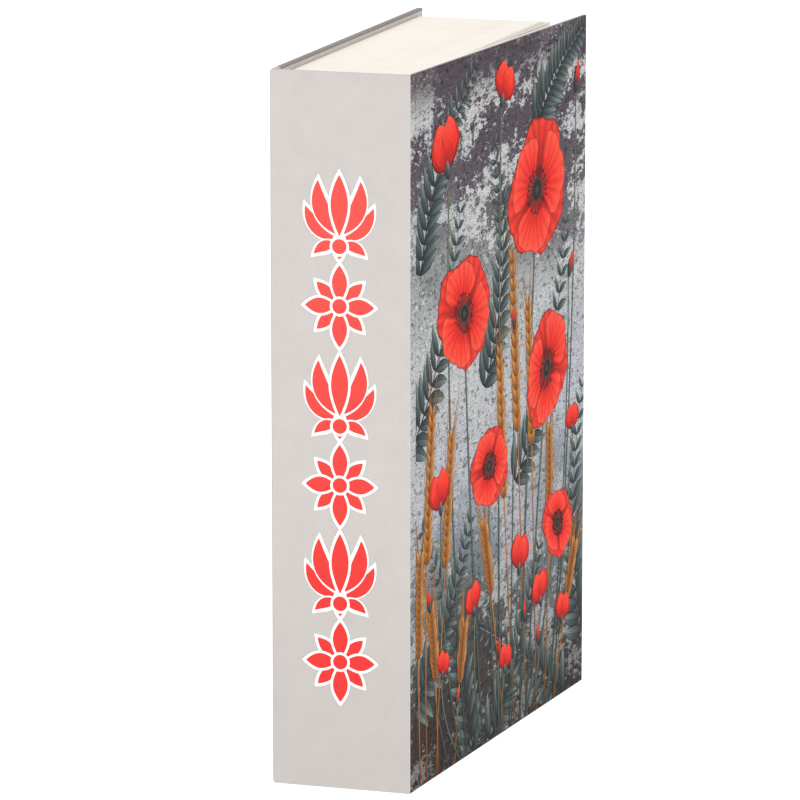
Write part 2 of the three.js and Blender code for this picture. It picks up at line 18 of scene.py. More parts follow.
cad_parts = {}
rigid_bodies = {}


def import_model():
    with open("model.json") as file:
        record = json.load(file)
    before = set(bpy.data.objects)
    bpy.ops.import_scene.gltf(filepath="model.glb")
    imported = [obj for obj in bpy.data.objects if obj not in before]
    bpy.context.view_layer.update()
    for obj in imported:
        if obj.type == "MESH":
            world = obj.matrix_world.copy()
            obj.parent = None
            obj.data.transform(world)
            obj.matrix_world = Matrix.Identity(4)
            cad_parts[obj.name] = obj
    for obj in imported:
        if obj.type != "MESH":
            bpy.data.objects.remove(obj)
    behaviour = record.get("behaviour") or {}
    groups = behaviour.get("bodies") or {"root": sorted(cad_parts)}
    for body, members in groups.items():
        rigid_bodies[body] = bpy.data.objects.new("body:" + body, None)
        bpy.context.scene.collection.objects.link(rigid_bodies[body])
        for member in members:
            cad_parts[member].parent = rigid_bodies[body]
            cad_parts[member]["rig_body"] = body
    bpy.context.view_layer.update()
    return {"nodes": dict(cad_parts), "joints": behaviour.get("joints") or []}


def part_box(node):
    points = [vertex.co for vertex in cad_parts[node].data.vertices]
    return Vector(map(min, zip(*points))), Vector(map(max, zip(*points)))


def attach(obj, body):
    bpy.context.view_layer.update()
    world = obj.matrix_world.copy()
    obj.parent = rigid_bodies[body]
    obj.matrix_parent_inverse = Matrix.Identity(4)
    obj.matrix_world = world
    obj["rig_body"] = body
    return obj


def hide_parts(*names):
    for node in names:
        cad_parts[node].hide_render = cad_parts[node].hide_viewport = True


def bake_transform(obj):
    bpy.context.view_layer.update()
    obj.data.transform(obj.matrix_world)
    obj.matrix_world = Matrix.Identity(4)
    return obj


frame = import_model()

bl_info = {
    "name": "Book Diversion Safe",
    "version": (1, 0, 0),
    "blender": (4, 5, 0),
    "location": "View3D > Sidebar > Book Safe",
    "description": "Prints the covers, cuts the leaves and finishes the steel cash box of a book safe",
    "category": "Add Mesh",
}

MM = 0.001
UP = Vector((0, 0, 1))

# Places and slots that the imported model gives, in metres
CREASE = {joint["name"]: Vector(joint["pos_m"]) for joint in frame["joints"]}
SPINE_LOW, SPINE_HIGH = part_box("spine_wrap")
BACK_LOW, BACK_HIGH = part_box("back_cover_wrap")
LEAF_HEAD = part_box("base_gathering")[1].z
BOOK_HEIGHT = SPINE_HIGH.z - SPINE_LOW.z
COVER_DEPTH = BACK_HIGH.y - SPINE_LOW.y
JOINT = CREASE["board_crease"] - CREASE["spine_crease"]
COVER_ALONG = JOINT.normalized()
COVER_OUT = COVER_ALONG.cross(UP)

# In degrees: edges flatter than the first are shaded smooth, those sharper than the second are
# rounded, and faces nearer to one plane than the third are merged
SMOOTH_EDGE, ROUNDED_EDGE, FLAT = 35, 40, 1
# Points nearer than this are one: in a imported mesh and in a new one, in metres, and in a drawing, in
# millimetres
SAME_POINT, SAME_NEW_POINT, SAME_DRAWN_POINT = 1e-7, 1e-6, 1e-5


def linear(code):
    """An sRGB hex colour as linear RGBA."""
    shares = [int(code[i:i + 2], 16) / 255 for i in (1, 3, 5)]
    return (*(s / 12.92 if s <= 0.04045 else ((s + 0.055) / 1.055) ** 2.4 for s in shares), 1.0)


def colour(name, description, code):
    """A colour that the user can change."""
    return bpy.props.FloatVectorProperty(
        name=name, description=description, subtype="COLOR", size=4, min=0, max=1, default=linear(code))


def number(name, description, default, **limits):
    """A number that the user can change."""
    return bpy.props.FloatProperty(name=name, description=description, default=default, **limits)


def length(name, description, size):
    """A length that the user can change, given in millimetres and kept in metres."""
    return number(name, description, size * MM, subtype="DISTANCE", unit="LENGTH", min=0, precision=6)


class BookSafeInks(PropertyGroup):
    """Colours of the papers and of the inks on them."""
    spine_light: colour("Spine paper, light", "Light threads of the spine paper", "#C6C1BE")
    spine_dark: colour("Spine paper, dark", "Dark threads of the spine paper", "#BDB8B4")
    # The spine ink's colour towards the head is lighter by a painted sheen of the light from above; the
    # deep colour is the ink towards the tail
    spine_ink: colour("Spine ink", "Red of the spine ornaments, a little faded towards the head", "#E6544D")
    spine_ink_deep: colour("Spine ink, deep", "Red of the spine ornaments towards the tail", "#E33A36")
    spine_outline: colour("Spine outline", "Outline round the spine ornaments", "#F8F3EF")
    fold: colour("Fold", "Bare paper along the fold at the spine", "#DDD3C6")
    endpaper: colour("Endpaper", "Endpaper inside the covers", "#D9D2CC")
    leaf_light: colour("Leaves, light", "Light edges of the leaves", "#F6F0E8")
    leaf_dark: colour("Leaves, dark", "Darker edges of the leaves", "#F3ECE3")
    board: colour("Greyboard", "Raw board under the paper", "#8D8477")
    bare_sheet: colour("Bare sheet", "Cover paper beyond the edge of the print", "#F3EEE6")


class BookSafeSizes(PropertyGroup):
    """Sizes of what is drawn on, or finer than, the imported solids."""
    edge_radius: length("Cover edge", "Radius of the paper where it turns over a board", 0.3)
    ink_film: length("Ink film", "Height of one layer of print over the paper", 0.008)
    plain_margin: length("Plain margin", "Width of the spine's plain colour on the back cover", 7)
    outline: length("Outline", "Width of the outline round the spine ornaments", 0.9)
    leaf_pitch: length("Leaf pitch", "Distance from one leaf to the next", 0.24)
    leaf_uneven: length("Leaf unevenness", "How far a leaf's edge stands off the others", 0.025)
    leaf_fill: number(
        "Leaf fill", "Share of the leaf pitch that is paper", 0.98, subtype="FACTOR", min=0.1, max=1)
    steel_edge: length("Steel edge", "Radius along the edges of the sheet steel", 0.22)
    lock_edge: length("Lock edge", "Radius along the edges of the lock's parts", 0.12)
    thread_pitch: length("Thread pitch", "Distance between the threads of the spine paper's grain", 0.55)


class BookSafeStage(PropertyGroup):
    """Camera, floor and lights."""
    camera: bpy.props.FloatVectorProperty(
        name="Camera", description="Where the camera stands", subtype="TRANSLATION", unit="LENGTH",
        default=(0.5602, -1.7154, 0.5059))
    azimuth: number(
        "Azimuth", "Camera's turn from square to the spine", math.radians(17.4417), subtype="ANGLE")
    elevation: number(
        "Elevation", "Camera's height over the horizon", math.radians(11.5513), subtype="ANGLE")
    lens: number("Lens", "Focal length", 242.7, subtype="DISTANCE_CAMERA")
    floor: colour("Floor", "Pale floor", "#C4C4C3")
    sky: number("Room light", "Strength of the even light all round", 0.86, min=0)
    overhead: number("Overhead light", "Strength of the wide soft light above", 0.75, min=0)
    front: number("Front light", "Power of the soft light before the spine", 2.5, subtype="POWER", min=0)
    side: number("Side light", "Power of the soft light on the front cover", 3, subtype="POWER", min=0)


# Nodes and materials

TINT = {"data_type": "RGBA"}
MULTIPLY = {"data_type": "RGBA", "blend_type": "MULTIPLY"}
# The emboss under the print is drawn at 0.9 mm, coarser than the real grain, so that it shows
PRINT_THREADS = (0.9 * MM, "YZ", 6.0)


def feed(tree, socket, value):
    """Sets a socket, or links it to an output, to a node's first output, or to each of a list."""
    for source in value if isinstance(value, list) else [value]:
        if isinstance(source, Node):
            source = next(output for output in source.outputs if output.enabled)
        if isinstance(source, NodeSocket):
            tree.links.new(source, socket)
        else:
            socket.default_value = source


def add_node(tree, kind, inputs=(), stops=(), **settings):
    """Adds a node: settings are its own values, and inputs are fed by name, or in order from a list.

    In order, a range takes its value, from low, from high, to low and to high, a noise its place, W,
    scale, detail and roughness, and a wave its place, scale, distortion, detail and detail's scale.
    """
    families = "GeometryNode", "FunctionNode", "ShaderNode", ""
    made = tree.nodes.new(next(family + kind for family in families if hasattr(bpy.types, family + kind)))
    for name, value in settings.items():
        setattr(made, name, value)
    for name, value in inputs.items() if isinstance(inputs, dict) else enumerate(inputs):
        feed(tree, made.inputs[name], value)
    if stops:
        ramp = made.color_ramp.elements
        while len(ramp) < len(stops):
            ramp.new(0.5)
        for element, (place, value) in zip(ramp, stops):
            element.position = place
            element.color = linear(value) if isinstance(value, str) else (value, value, value, 1)
    return made


def per_metre(millimetres):
    """The scale that gives a noise grains of this size."""
    return 1 / (millimetres * MM)


def bands_per_metre(pitch):
    """The scale that gives a wave's bands or rings this pitch, in metres."""
    return math.pi / 10 / pitch


def finish(material, relief=None, invert=False, **values):
    """Feeds the shader's sockets, and its normal from a relief of height, strength and depth in mm."""
    tree = material.node_tree
    if relief:
        height, strength, depth = relief
        values["Normal"] = add_node(tree, "Bump", {
            "Height": height, "Strength": strength, "Distance": depth * MM}, invert=invert)
    for name, value in values.items():
        feed(tree, tree.nodes["Principled BSDF"].inputs[name.replace("_", " ")], value)
    return material


def new_material(name, **constants):
    """A material with constants on its shader's sockets, what adds nodes to it, and the piece's place."""
    material = bpy.data.materials.new(name)
    material.use_nodes = True
    add = functools.partial(add_node, finish(material, **constants).node_tree)
    return material, add, add("TexCoord").outputs["Object"]


def linen_threads(add, place, pitch, ways, uneven):
    """Height of an embossed linen grain: threads along two directions, straight or uneven."""
    warp, weft = (
        add("TexWave", [place, bands_per_metre(pitch), uneven, 2, 3], bands_direction=way)
        for way in ways)
    return add("Math", [warp.outputs["Fac"], weft.outputs["Fac"]], operation="ADD")


def linen_grain_paper(inks, sizes):
    """Cover paper embossed with a fine linen grain: pale warm grey, satin, its threads barely seen."""
    material, add, place = new_material("linen_grain_cover_paper", Roughness=0.6, Specular_IOR_Level=0.2)
    threads = linen_threads(add, place, sizes.thread_pitch, "XZ", 1.5)
    soft = add("Math", [
        add("TexNoise", [place, 0, per_metre(size), detail, rough])
        for size, detail, rough in ((9, 5, 0.6), (0.7, 3, 0.7))], operation="ADD")
    fine = add("Math", [threads, 0.12, soft], operation="MULTIPLY_ADD")
    tone = add("MapRange", [fine, 0.75, 1.5])
    paper = add("Mix", {"Factor": tone, "A": inks.spine_dark, "B": inks.spine_light}, **TINT)
    # Painted shade: the lower half is darker towards the tail, and the rounded corner at the back is darker
    # where it turns away from the light
    level = add("SeparateXYZ", [place]).outputs["Z"]
    painted_shade_low = add("MapRange", [level, 0, 0.5 * BOOK_HEIGHT, 0.92, 1], interpolation_type="SMOOTHSTEP")
    facing = add("SeparateXYZ", [add("TexCoord").outputs["Normal"]]).outputs["X"]
    back = add("Math", [facing, -1.0], operation="MULTIPLY")
    painted_corner_shade = add("ValToRGB", [back], stops=[(0.2, 1.0), (0.5, 0.9), (0.85, 0.88), (0.97, 0.98)])
    painted_paper_shade = add("Math", [painted_shade_low, painted_corner_shade], operation="MULTIPLY")
    paper = add("Mix", {"Factor": 1.0, "A": paper, "B": painted_paper_shade}, **MULTIPLY)
    return finish(material, (fine, 0.25, 0.04), Base_Color=paper)


def weathered_print(name, seed, direction, end, beyond):
    """Offset print under a satin film: a picture of flaking plaster, dark at head and tail.

    The dark and pale fields run over the head, the middle and the tail, and flakes of 2 to 8 mm,
    crumbs and specks of 1 to 2 mm and faint level lines lie on them. Paper shows through where edges
    are rubbed. Past the place where the print ends, along a direction, the sheet has another colour.
    """
    material, add, place = new_material(name, Roughness=0.6, Specular_IOR_Level=0.07)
    shift = add("Mapping", {"Vector": place, "Location": (seed, 0, 0), "Scale": (1, 0.5, 1)})
    drift, stain, flake, crumb, speck, tooth = (
        add("TexNoise", [shift, 0, per_metre(size), detail, rough])
        for size, detail, rough in (
            (45, 5, 0.6), (19, 8, 0.6), (2.4, 9, 0.74), (1.5, 4, 0.75), (1.7, 5, 0.75), (0.8, 3, 0.75)))
    level = add("SeparateXYZ", [place]).outputs["Z"]
    height = add("Math", [level, 1 / BOOK_HEIGHT], operation="MULTIPLY")
    field = add("Math", [
        height, add("Math", [drift, 0.42, -0.21], operation="MULTIPLY_ADD")], operation="ADD")
    ground = add("ValToRGB", [field], stops=[
        (0.00, "#2C2322"), (0.10, "#393030"), (0.20, "#4F5253"), (0.31, "#7D858C"), (0.44, "#B0B3BB"),
        (0.60, "#B4B6B8"), (0.70, "#87898A"), (0.78, "#554D56"), (0.90, "#4C434C"), (1.00, "#473D46")])
    tint = add("ValToRGB", [drift], stops=[(0.35, "#AFB2B6"), (0.5, "#C4C5C3"), (0.65, "#B8B7C0")])
    both = add("Math", [stain, flake], operation="ADD")
    lines = add(
        "TexWave", [shift, bands_per_metre(1.3 * MM), 1.2, 2, 1], bands_direction="Z").outputs["Fac"]
    threads = linen_threads(add, place, *PRINT_THREADS)
    along = add("VectorMath", [place, direction], operation="DOT_PRODUCT")
    cut, close, crumbs, heaps, dots, ruled, grained, woven, past = (add("MapRange", row) for row in (
        [both, 1.024, 1.034], [both, 0.96, 1.06], [crumb, 0.57, 0.61], [stain, 0.44, 0.56, 0.05, 0.8],
        [speck, 0.55, 0.59, 1, 0.35], [lines, 0, 1, 0.96, 1.03], [tooth, 0.3, 0.7, 0.7, 1.26],
        [threads, 0, 2, 0.72, 1.28], [along, end, end + 0.1 * MM]))
    rim = add("ValToRGB", [close], stops=[
        (0.30, 1.0), (0.58, 0.55), (0.66, 0.6), (0.76, 1.0), (1.0, 0.93)])
    reach = add("ValToRGB", [height], stops=[
        (0.00, 0.20), (0.12, 0.60), (0.30, 0.60), (0.45, 0.35), (0.58, 0.75), (0.72, 1.0), (0.93, 0.95),
        (0.98, 0.1)])
    rubbed = add("Attribute", attribute_name="edge_wear").outputs["Fac"]
    shown, strewn, rub = (add("Math", row, operation="MULTIPLY") for row in (
        [cut, reach], [crumbs, heaps], [rubbed, 0.7]))
    sheet = ground
    for factor, over, blend in (
            (shown, tint, TINT), (strewn, linear("#ABAAAC"), TINT),
            *((1.0, tone, MULTIPLY) for tone in (dots, ruled, rim, grained, woven)),
            (rub, linear("#A8A09E"), TINT), (past, beyond, TINT)):
        sheet = add("Mix", {"Factor": factor, "A": sheet, "B": over}, **blend)
    return finish(material, (threads, 0.15, 0.03), Base_Color=sheet)


def shaped_ink(name, along, across, veins=0.0):
    """Ink of a drawn petal, leaf or grain: it changes along the shape, and darkens at its outline."""
    material, add, place = new_material(name, Roughness=0.6, Specular_IOR_Level=0.05)
    shape = add("UVMap", uv_map="Drawn")
    run = add("SeparateXYZ", [shape]).outputs
    ink = add("ValToRGB", [run["Y"]], stops=along)
    outline = add("ValToRGB", [run["X"]], stops=across)
    mottle = add("TexNoise", [place, 0, per_metre(3), 6, 0.65])
    fibre = add("TexWave", [shape, 2.6, 2.2, 2, 1.5], bands_direction="X").outputs["Fac"]
    threads = linen_threads(add, place, *PRINT_THREADS)
    tones = [add("MapRange", row) for row in (
        [mottle, 0.3, 0.7, 0.84, 1.12], [fibre, 0, 1, 1 - veins, 1 + veins * 0.4],
        [threads, 0, 2, 0.84, 1.16])]
    for tone in (outline, *tones):
        ink = add("Mix", {"Factor": 1.0, "A": ink, "B": tone}, **MULTIPLY)
    return finish(material, Base_Color=ink)


def flat_ink(name, sheened, deep, amount):
    """Solid ink printed in one pass, which takes a little of the paper's grain, with a painted sheen that
    lightens it towards the head.
    """
    material, add, place = new_material(name, Roughness=0.55, Specular_IOR_Level=0.12)
    grain = add("TexNoise", [place, 0, per_metre(0.8), 4, 0.65])
    taken = add("MapRange", [grain, 0.3, 0.7, 1 - amount, 1])
    level = add("SeparateXYZ", [place]).outputs["Z"]
    # Painted sheen: the ink turns from its deep colour at the tail to a lighter one at the head, where
    # light from above lies on it
    sheen_from, sheen_full_at = 0.25 * BOOK_HEIGHT, 0.77 * BOOK_HEIGHT
    painted_sheen = add("MapRange", [level, sheen_from, sheen_full_at])
    ink = add("Mix", {"Factor": painted_sheen, "A": deep, "B": sheened}, **TINT)
    ink = add("Mix", {"Factor": 1.0, "A": ink, "B": taken}, **MULTIPLY)
    return finish(material, Base_Color=ink)


def uncoated_paper(name, light, dark, grain=2.5, crevice_shade=0.0):
    """Uncoated paper: warm, matt, with a soft cloud of fibres, and painted shade that darkens it at and
    below the head of the leaves.
    """
    material, add, place = new_material(name, Roughness=0.85)
    fibres = add("TexNoise", [place, 0, per_metre(grain), 7, 0.7])
    tone = add("MapRange", [fibres, 0.3, 0.7])
    level = add("SeparateXYZ", [place]).outputs["Z"]
    # Painted shade: darker at and below the head of the leaves, where they stand beside the paper, and
    # lighter up to the head of the case
    painted_crevice_shade = add("MapRange", [level, LEAF_HEAD, SPINE_HIGH.z, 1 - crevice_shade, 1])
    paper = add("Mix", {"Factor": tone, "A": dark, "B": light}, **TINT)
    paper = add("Mix", {"Factor": 1.0, "A": paper, "B": painted_crevice_shade}, **MULTIPLY)
    return finish(material, (fibres, 0.15, 0.03), Base_Color=paper)


def cut_leaf_edges(inks):
    """Guillotined leaves of uncoated paper: cream, with fine lines where leaves stand a little off."""
    material, add, place = new_material("guillotined_leaves", Roughness=0.9, Specular_IOR_Level=0.1)
    # Leaves are too thin to show one by one, so the lines stand for bundles of 2 to 6 leaves
    across = add("Mapping", {
        "Vector": place, "Scale": (per_metre(0.7), per_metre(120), per_metre(120))})
    both = add("Math", [
        add("TexNoise", [where, 0, scale, 3])
        for where, scale in ((across, 1), (place, per_metre(30)))], operation="ADD")
    tone = add("MapRange", [both, 0.75, 1.2])
    paper = add("Mix", {"Factor": tone, "A": inks.leaf_dark, "B": inks.leaf_light}, **TINT)
    return finish(material, Base_Color=paper)


def pressed_greyboard(inks):
    """Greyboard pressed from waste paper: dull grey-brown with flecks of lighter fibre."""
    material, add, place = new_material("pressed_greyboard", Roughness=0.95)
    fleck = add("TexNoise", [place, 0, per_metre(1.2), 6, 0.75])
    tone = add("MapRange", [fleck, 0.3, 0.75, 0.75, 1.25])
    return finish(material, Base_Color=add(
        "Mix", {"Factor": 1.0, "A": inks.board, "B": tone}, **MULTIPLY))


def textured_powder_coat():
    """Black powder coat baked on steel: a fine pebble that breaks up the shine."""
    material, add, place = new_material("black_textured_powder_coat", Roughness=0.5)
    pebble = add("TexVoronoi", {"Vector": place, "Scale": per_metre(0.9)}, feature="SMOOTH_F1")
    cloud = add("TexNoise", [place, 0, per_metre(18), 4])
    shade = add("ValToRGB", [cloud], stops=[(0.35, "#26282B"), (0.65, "#323438")])
    gloss = add("MapRange", [pebble, 0, 0.6, 0.38, 0.62])
    return finish(material, (pebble, 0.7, 0.12), invert=True, Base_Color=shade, Roughness=gloss)


def worked_metal(name, light, dark, rough, bump, axis=None, pitch=0.0):
    """Plated or turned metal: fine marks of its making break its shine.

    They run along Z on drawn wire and sheet, and lie in rings round an axis along X on what was turned.
    """
    material, add, place = new_material(name, Metallic=1.0)
    if axis:
        centred = add("Mapping", {"Vector": place, "Location": -axis})
        marks = add(
            "TexWave", [centred, bands_per_metre(pitch * MM), 0.6, 2, 2], wave_type="RINGS",
            rings_direction="X").outputs["Fac"]
    else:
        across, along = per_metre(0.35), per_metre(25)
        drawn = add("Mapping", {"Vector": place, "Scale": (across, across, along)})
        marks = add("TexNoise", [drawn, 0, 1, 4])
    cloud = add("TexNoise", [place, 0, per_metre(5 if axis else 9), 5])
    tone = add("ValToRGB", [cloud], stops=[(0.3, dark), (0.7, light)])
    gloss = add("MapRange", [
        cloud if axis else marks, 0.3, 0.7, rough * (0.8 if axis else 0.75), rough * 1.3])
    return finish(material, (marks, bump, 0.02), Base_Color=tone, Roughness=gloss)


def studio_floor(stage):
    """White light table under the book: most of its light is its own, so that shadows on it are faint."""
    return new_material(
        "white_light_table", Roughness=0.9, Emission_Strength=0.78, Emission_Color=(1, 1, 1, 1),
        Specular_IOR_Level=0.2, Base_Color=stage.floor)[0]


# Materials that one operator makes and others use too, by a short name
MATERIALS = {}


# Pieces


def wear(piece, *materials):
    """Gives a piece its materials in place of those it has."""
    slots = piece.data.materials
    while slots:
        slots.pop()
    for material in materials:
        slots.append(material)
    return piece


def linked(name, data):
    """A new object in the scene for this mesh, curve, lamp or camera."""
    piece = bpy.data.objects.new(name, data)
    bpy.context.scene.collection.objects.link(piece)
    return piece


def opened(mesh):
    """A mesh to edit."""
    bm = bmesh.new()
    bm.from_mesh(mesh)
    return bm


def closed(bm, mesh):
    """The edited mesh, kept as a mesh or under a new mesh's name."""
    mesh = bpy.data.meshes.new(mesh) if isinstance(mesh, str) else mesh
    bm.to_mesh(mesh)
    bm.free()
    return mesh


def lofted(name, rings):
    """A closed solid through rings of corners, from one end to the other. An end may be a point."""
    bm = bmesh.new()
    rings = [[bm.verts.new(painted_corner_shade) for painted_corner_shade in ring] for ring in rings]
    for near, far in zip(rings, rings[1:]):
        for i in range(max(len(near), len(far))):
            j = i + 1
            corners = near[i % len(near)], near[j % len(near)], far[j % len(far)], far[i % len(far)]
            # Beside an end that is a point, two of the four are the same
            bm.faces.new([*dict.fromkeys(corners)])
    for end in (rings[0][::-1], rings[-1]):
        if len(end) > 1:
            bm.faces.new(end)
    bmesh.ops.recalc_face_normals(bm, faces=bm.faces)
    return linked(name, closed(bm, name))


def shade_smooth(piece, angle=SMOOTH_EDGE):
    """Smooth shading that keeps edges sharper than the angle."""
    piece.data.shade_smooth()
    bm = opened(piece.data)
    for edge in bm.edges:
        if len(edge.link_faces) == 2:
            edge.smooth = edge.calc_face_angle(math.pi) < math.radians(angle)
    closed(bm, piece.data)


def finished_copy(node, name, material, radius, segments):
    """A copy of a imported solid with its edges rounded, which stands for it."""
    source = frame["nodes"][node]
    bm = opened(source.data)
    bmesh.ops.remove_doubles(bm, verts=bm.verts, dist=SAME_POINT)
    bmesh.ops.dissolve_limit(bm, angle_limit=math.radians(FLAT), verts=bm.verts, edges=bm.edges)
    piece = wear(linked(name, closed(bm, name)), material)
    bevel = piece.modifiers.new("Rounded edges", "BEVEL")
    bevel.width = radius
    bevel.segments = segments
    bevel.limit_method = "ANGLE"
    bevel.angle_limit = math.radians(ROUNDED_EDGE)
    shade_smooth(piece)
    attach(piece, source["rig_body"])
    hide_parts(node)
    return piece


def soften_back_corners(piece):
    """Rounds the case at head and tail beside the spine, where the turned-in paper is folded over."""
    # The radius beside the spine, the depth over which it fades, and the cuts that give it corners
    reach, painted_sheen, cuts = 1.1 * MM, 4.5 * MM, 5
    bm = opened(piece.data)
    x_axis, y_axis = Vector((1, 0, 0)), Vector((0, 1, 0))
    planes = [(y_axis, SPINE_LOW.y + painted_sheen * i / cuts) for i in range(1, cuts + 1)]
    for i in range(cuts):
        step = reach * (1 - (1 - i / cuts) ** 2)
        planes += [(x_axis, BACK_LOW.x + reach - step), (UP, SPINE_HIGH.z - reach + step),
                   (UP, SPINE_LOW.z + reach - step)]
    for normal, place in planes:
        everything = [*bm.verts, *bm.edges, *bm.faces]
        bmesh.ops.bisect_plane(
            bm, geom=everything, dist=SAME_NEW_POINT, plane_co=normal * place, plane_no=normal)
    for vert in bm.verts:
        share = min(max((vert.co.y - SPINE_LOW.y) / painted_sheen, 0), 1)
        radius = max(reach * (1 - share), SAME_NEW_POINT)
        sign = 1 if vert.co.z > SPINE_HIGH.z / 2 else -1
        edge = SPINE_HIGH.z if sign > 0 else SPINE_LOW.z
        # From a square of side 1 whose far corner is the case's to a quarter of a round one
        a = 1 - (vert.co.x - BACK_LOW.x) / radius
        b = 1 - sign * (edge - vert.co.z) / radius
        if a > 0 and b > 0:
            vert.co.x = BACK_LOW.x + radius * (1 - a * math.sqrt(1 - b * b / 2))
            vert.co.z = edge - sign * radius * (1 - b * math.sqrt(1 - a * a / 2))
    closed(bm, piece.data)
    shade_smooth(piece)


def mark_edge_wear(piece, outwards):
    """Marks all faces but the outer one: the print is rubbed on the edges and thin on the turn-ins."""
    marks = piece.data.attributes.new("edge_wear", "FLOAT", "FACE")
    marks.data.foreach_set("value", [
        0.0 if p.normal.dot(outwards) > 0.7 else 1.0 for p in piece.data.polygons])


# Drawn shapes

PETAL, PETAL_BACK, EYE, STALK, FOLIAGE, STRAW = range(6)

# Height of each kind of shape in the picture, in films of ink, and of one shape over the next:
# no two that cross lie in one plane
HEIGHT = {"frond": 0, "leaflet": 0.5, "straw": 6, "awn": 6.6, "stem": 9.8, "grain": 11, "bloom": 15.6,
          "cup": 17.8}
NEXT_PETAL = 0.25
NEXT_SHAPE = 0.03


def placed(rows, centre, turn, squash):
    """Rows foreshortened, turned and moved to a place."""
    cos, sin = math.cos(turn), math.sin(turn)
    x0, y0 = centre
    return [[(x0 + p[0] * cos - p[1] * squash * sin, y0 + p[0] * sin + p[1] * squash * cos) for p in row]
            for row in rows]


class DrawnSheet:
    """Flat shapes in millimetres on one sheet. Each has its own run across and along it, from 0 to 1."""

    def __init__(self):
        self.bm = bmesh.new()
        self.run = self.bm.loops.layers.uv.new("Drawn")

    def shape(self, rows, layer=0, ink=0, where=None):
        """Fills the rows of points, which run from one end of the shape to the other."""
        if where:
            rows = placed(rows, *where)
        last_row, last_column = len(rows) - 1, len(rows[0]) - 1
        verts = [[self.bm.verts.new((x, y, layer)) for x, y in row] for row in rows]
        for i, j in itertools.product(range(last_row), range(last_column)):
            corners = [(i, j), (i, j + 1), (i + 1, j + 1), (i + 1, j)]
            face = self.bm.faces.new([verts[a][b] for a, b in corners])
            face.material_index = ink
            for loop, (a, b) in zip(face.loops, corners):
                loop[self.run].uv = (b / last_column, a / last_row)
            face.normal_update()
            if face.normal.z < 0:
                face.normal_flip()

    def trimmed(self, x0, x1, y0, y1):
        """Cuts off all that lies outside a rectangle."""
        for painted_corner_shade, normal in (
                ((x0, 0), (-1, 0, 0)), ((x1, 0), (1, 0, 0)), ((0, y0), (0, -1, 0)), ((0, y1), (0, 1, 0))):
            everything = [*self.bm.verts, *self.bm.edges, *self.bm.faces]
            bmesh.ops.bisect_plane(
                self.bm, geom=everything, plane_co=(*painted_corner_shade, 0), plane_no=normal, clear_outer=True)

    def mesh(self, name, layer_height):
        """The sheet as a mesh in metres, its layers one film above the other."""
        bmesh.ops.remove_doubles(self.bm, verts=self.bm.verts, dist=SAME_DRAWN_POINT)
        bmesh.ops.dissolve_degenerate(self.bm, dist=SAME_DRAWN_POINT, edges=self.bm.edges)
        for vert in self.bm.verts:
            vert.co = (vert.co.x * MM, vert.co.y * MM, (vert.co.z + 1) * layer_height)
        return closed(self.bm, name)

    def printed(self, name, face, materials, film, body, slot):
        """Lays the sheet on a face of the book: its way along, its way out and the place of its foot."""
        along, out, (x, y) = face
        to_face = Matrix((along, UP, out)).transposed().to_4x4()
        to_face.translation = (x, y, SPINE_LOW.z)
        mesh = self.mesh(name, film)
        mesh.transform(to_face)
        piece = wear(linked(name, mesh), *materials)
        ink = piece.modifiers.new("Ink film", "SOLIDIFY")
        ink.thickness = film / 2
        ink.offset = -1
        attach(piece, body)


def curve_point(start, middle, end, t):
    """A point on the curve that leaves start towards middle and arrives at end."""
    return start * (1 - t) ** 2 + middle * (2 * t * (1 - t)) + end * t ** 2


def bent_line(start, middle, end, steps=20):
    """Points along a stalk."""
    ends = Vector(start), Vector(middle), Vector(end)
    return [curve_point(*ends, i / steps) for i in range(steps + 1)]


def crossing(here, across, columns):
    """A row of points on both sides of a place, as far as across."""
    return [here + across * (2 * j / columns - 1) for j in range(columns + 1)]


def pointing(angle):
    """The direction at this angle."""
    return Vector((math.cos(angle), math.sin(angle)))


def almond(base, tip, half_width, bend=0.0, belly=0.8, grow=0.0, steps=14):
    """Rows of a pointed petal or leaf from base to tip, bent sideways, and grown for an outline."""
    base, tip = Vector(base), Vector(tip)
    run = tip - base
    middle = (base + tip) / 2 + run.orthogonal() / run.length * bend
    reach = grow * math.hypot(1, run.length / (3.2 * half_width))
    start_way, end_way = (middle - base).normalized(), (tip - middle).normalized()
    base, tip = base - start_way * reach, tip + end_way * reach
    rows = []
    for i in range(steps + 1):
        t = i / steps
        way = ((middle - base) * (1 - t) + (tip - middle) * t).normalized()
        across = way.orthogonal() * (half_width + grow) * math.sin(math.pi * t ** belly) ** 0.9
        rows.append(crossing(curve_point(base, middle, tip, t), across, 4))
    return rows


def ribbon(points, widths):
    """Rows of a stalk along points, with its whole width at each end."""
    points = [Vector(p) for p in points]
    rows = []
    for i, here in enumerate(points):
        way = (points[min(i + 1, len(points) - 1)] - points[max(i - 1, 0)]).normalized()
        width = widths[0] + (widths[1] - widths[0]) * i / (len(points) - 1)
        rows.append(crossing(here, way.orthogonal() * width / 2, 2))
    return rows


def round_spot(centre, radius, steps=20):
    """Rows of a round spot, from its middle out."""
    rim = [pointing(2 * math.pi * i / steps) * radius for i in range(steps + 1)]
    return [[Vector(centre) + p * share for p in rim] for share in (0.001, 0.5, 1.0)]


def fan_petal(reach, facing, phase):
    """Rows of a broad ruffled petal round the origin, from the middle of the bloom out."""
    inner, steps, columns, spread, ruffle = 0.06, 9, 14, 1.02, 0.035
    rows = []
    for i in range(steps + 1):
        out = inner + (1 - inner) * i / steps
        row = []
        for j in range(columns + 1):
            share = 2 * j / columns - 1
            turn = facing + spread * share * (0.35 + 0.65 * out ** 0.5)
            crown = max(1 - abs(share) ** 3.2, 0) ** 0.45 * 0.42 + 0.58
            wave = ruffle * out * math.sin(7 * share + phase) + ruffle * 0.6 * out * math.sin(17 * share)
            row.append(pointing(turn) * reach * out * crown * (1 + wave))
        rows.append(row)
    return rows


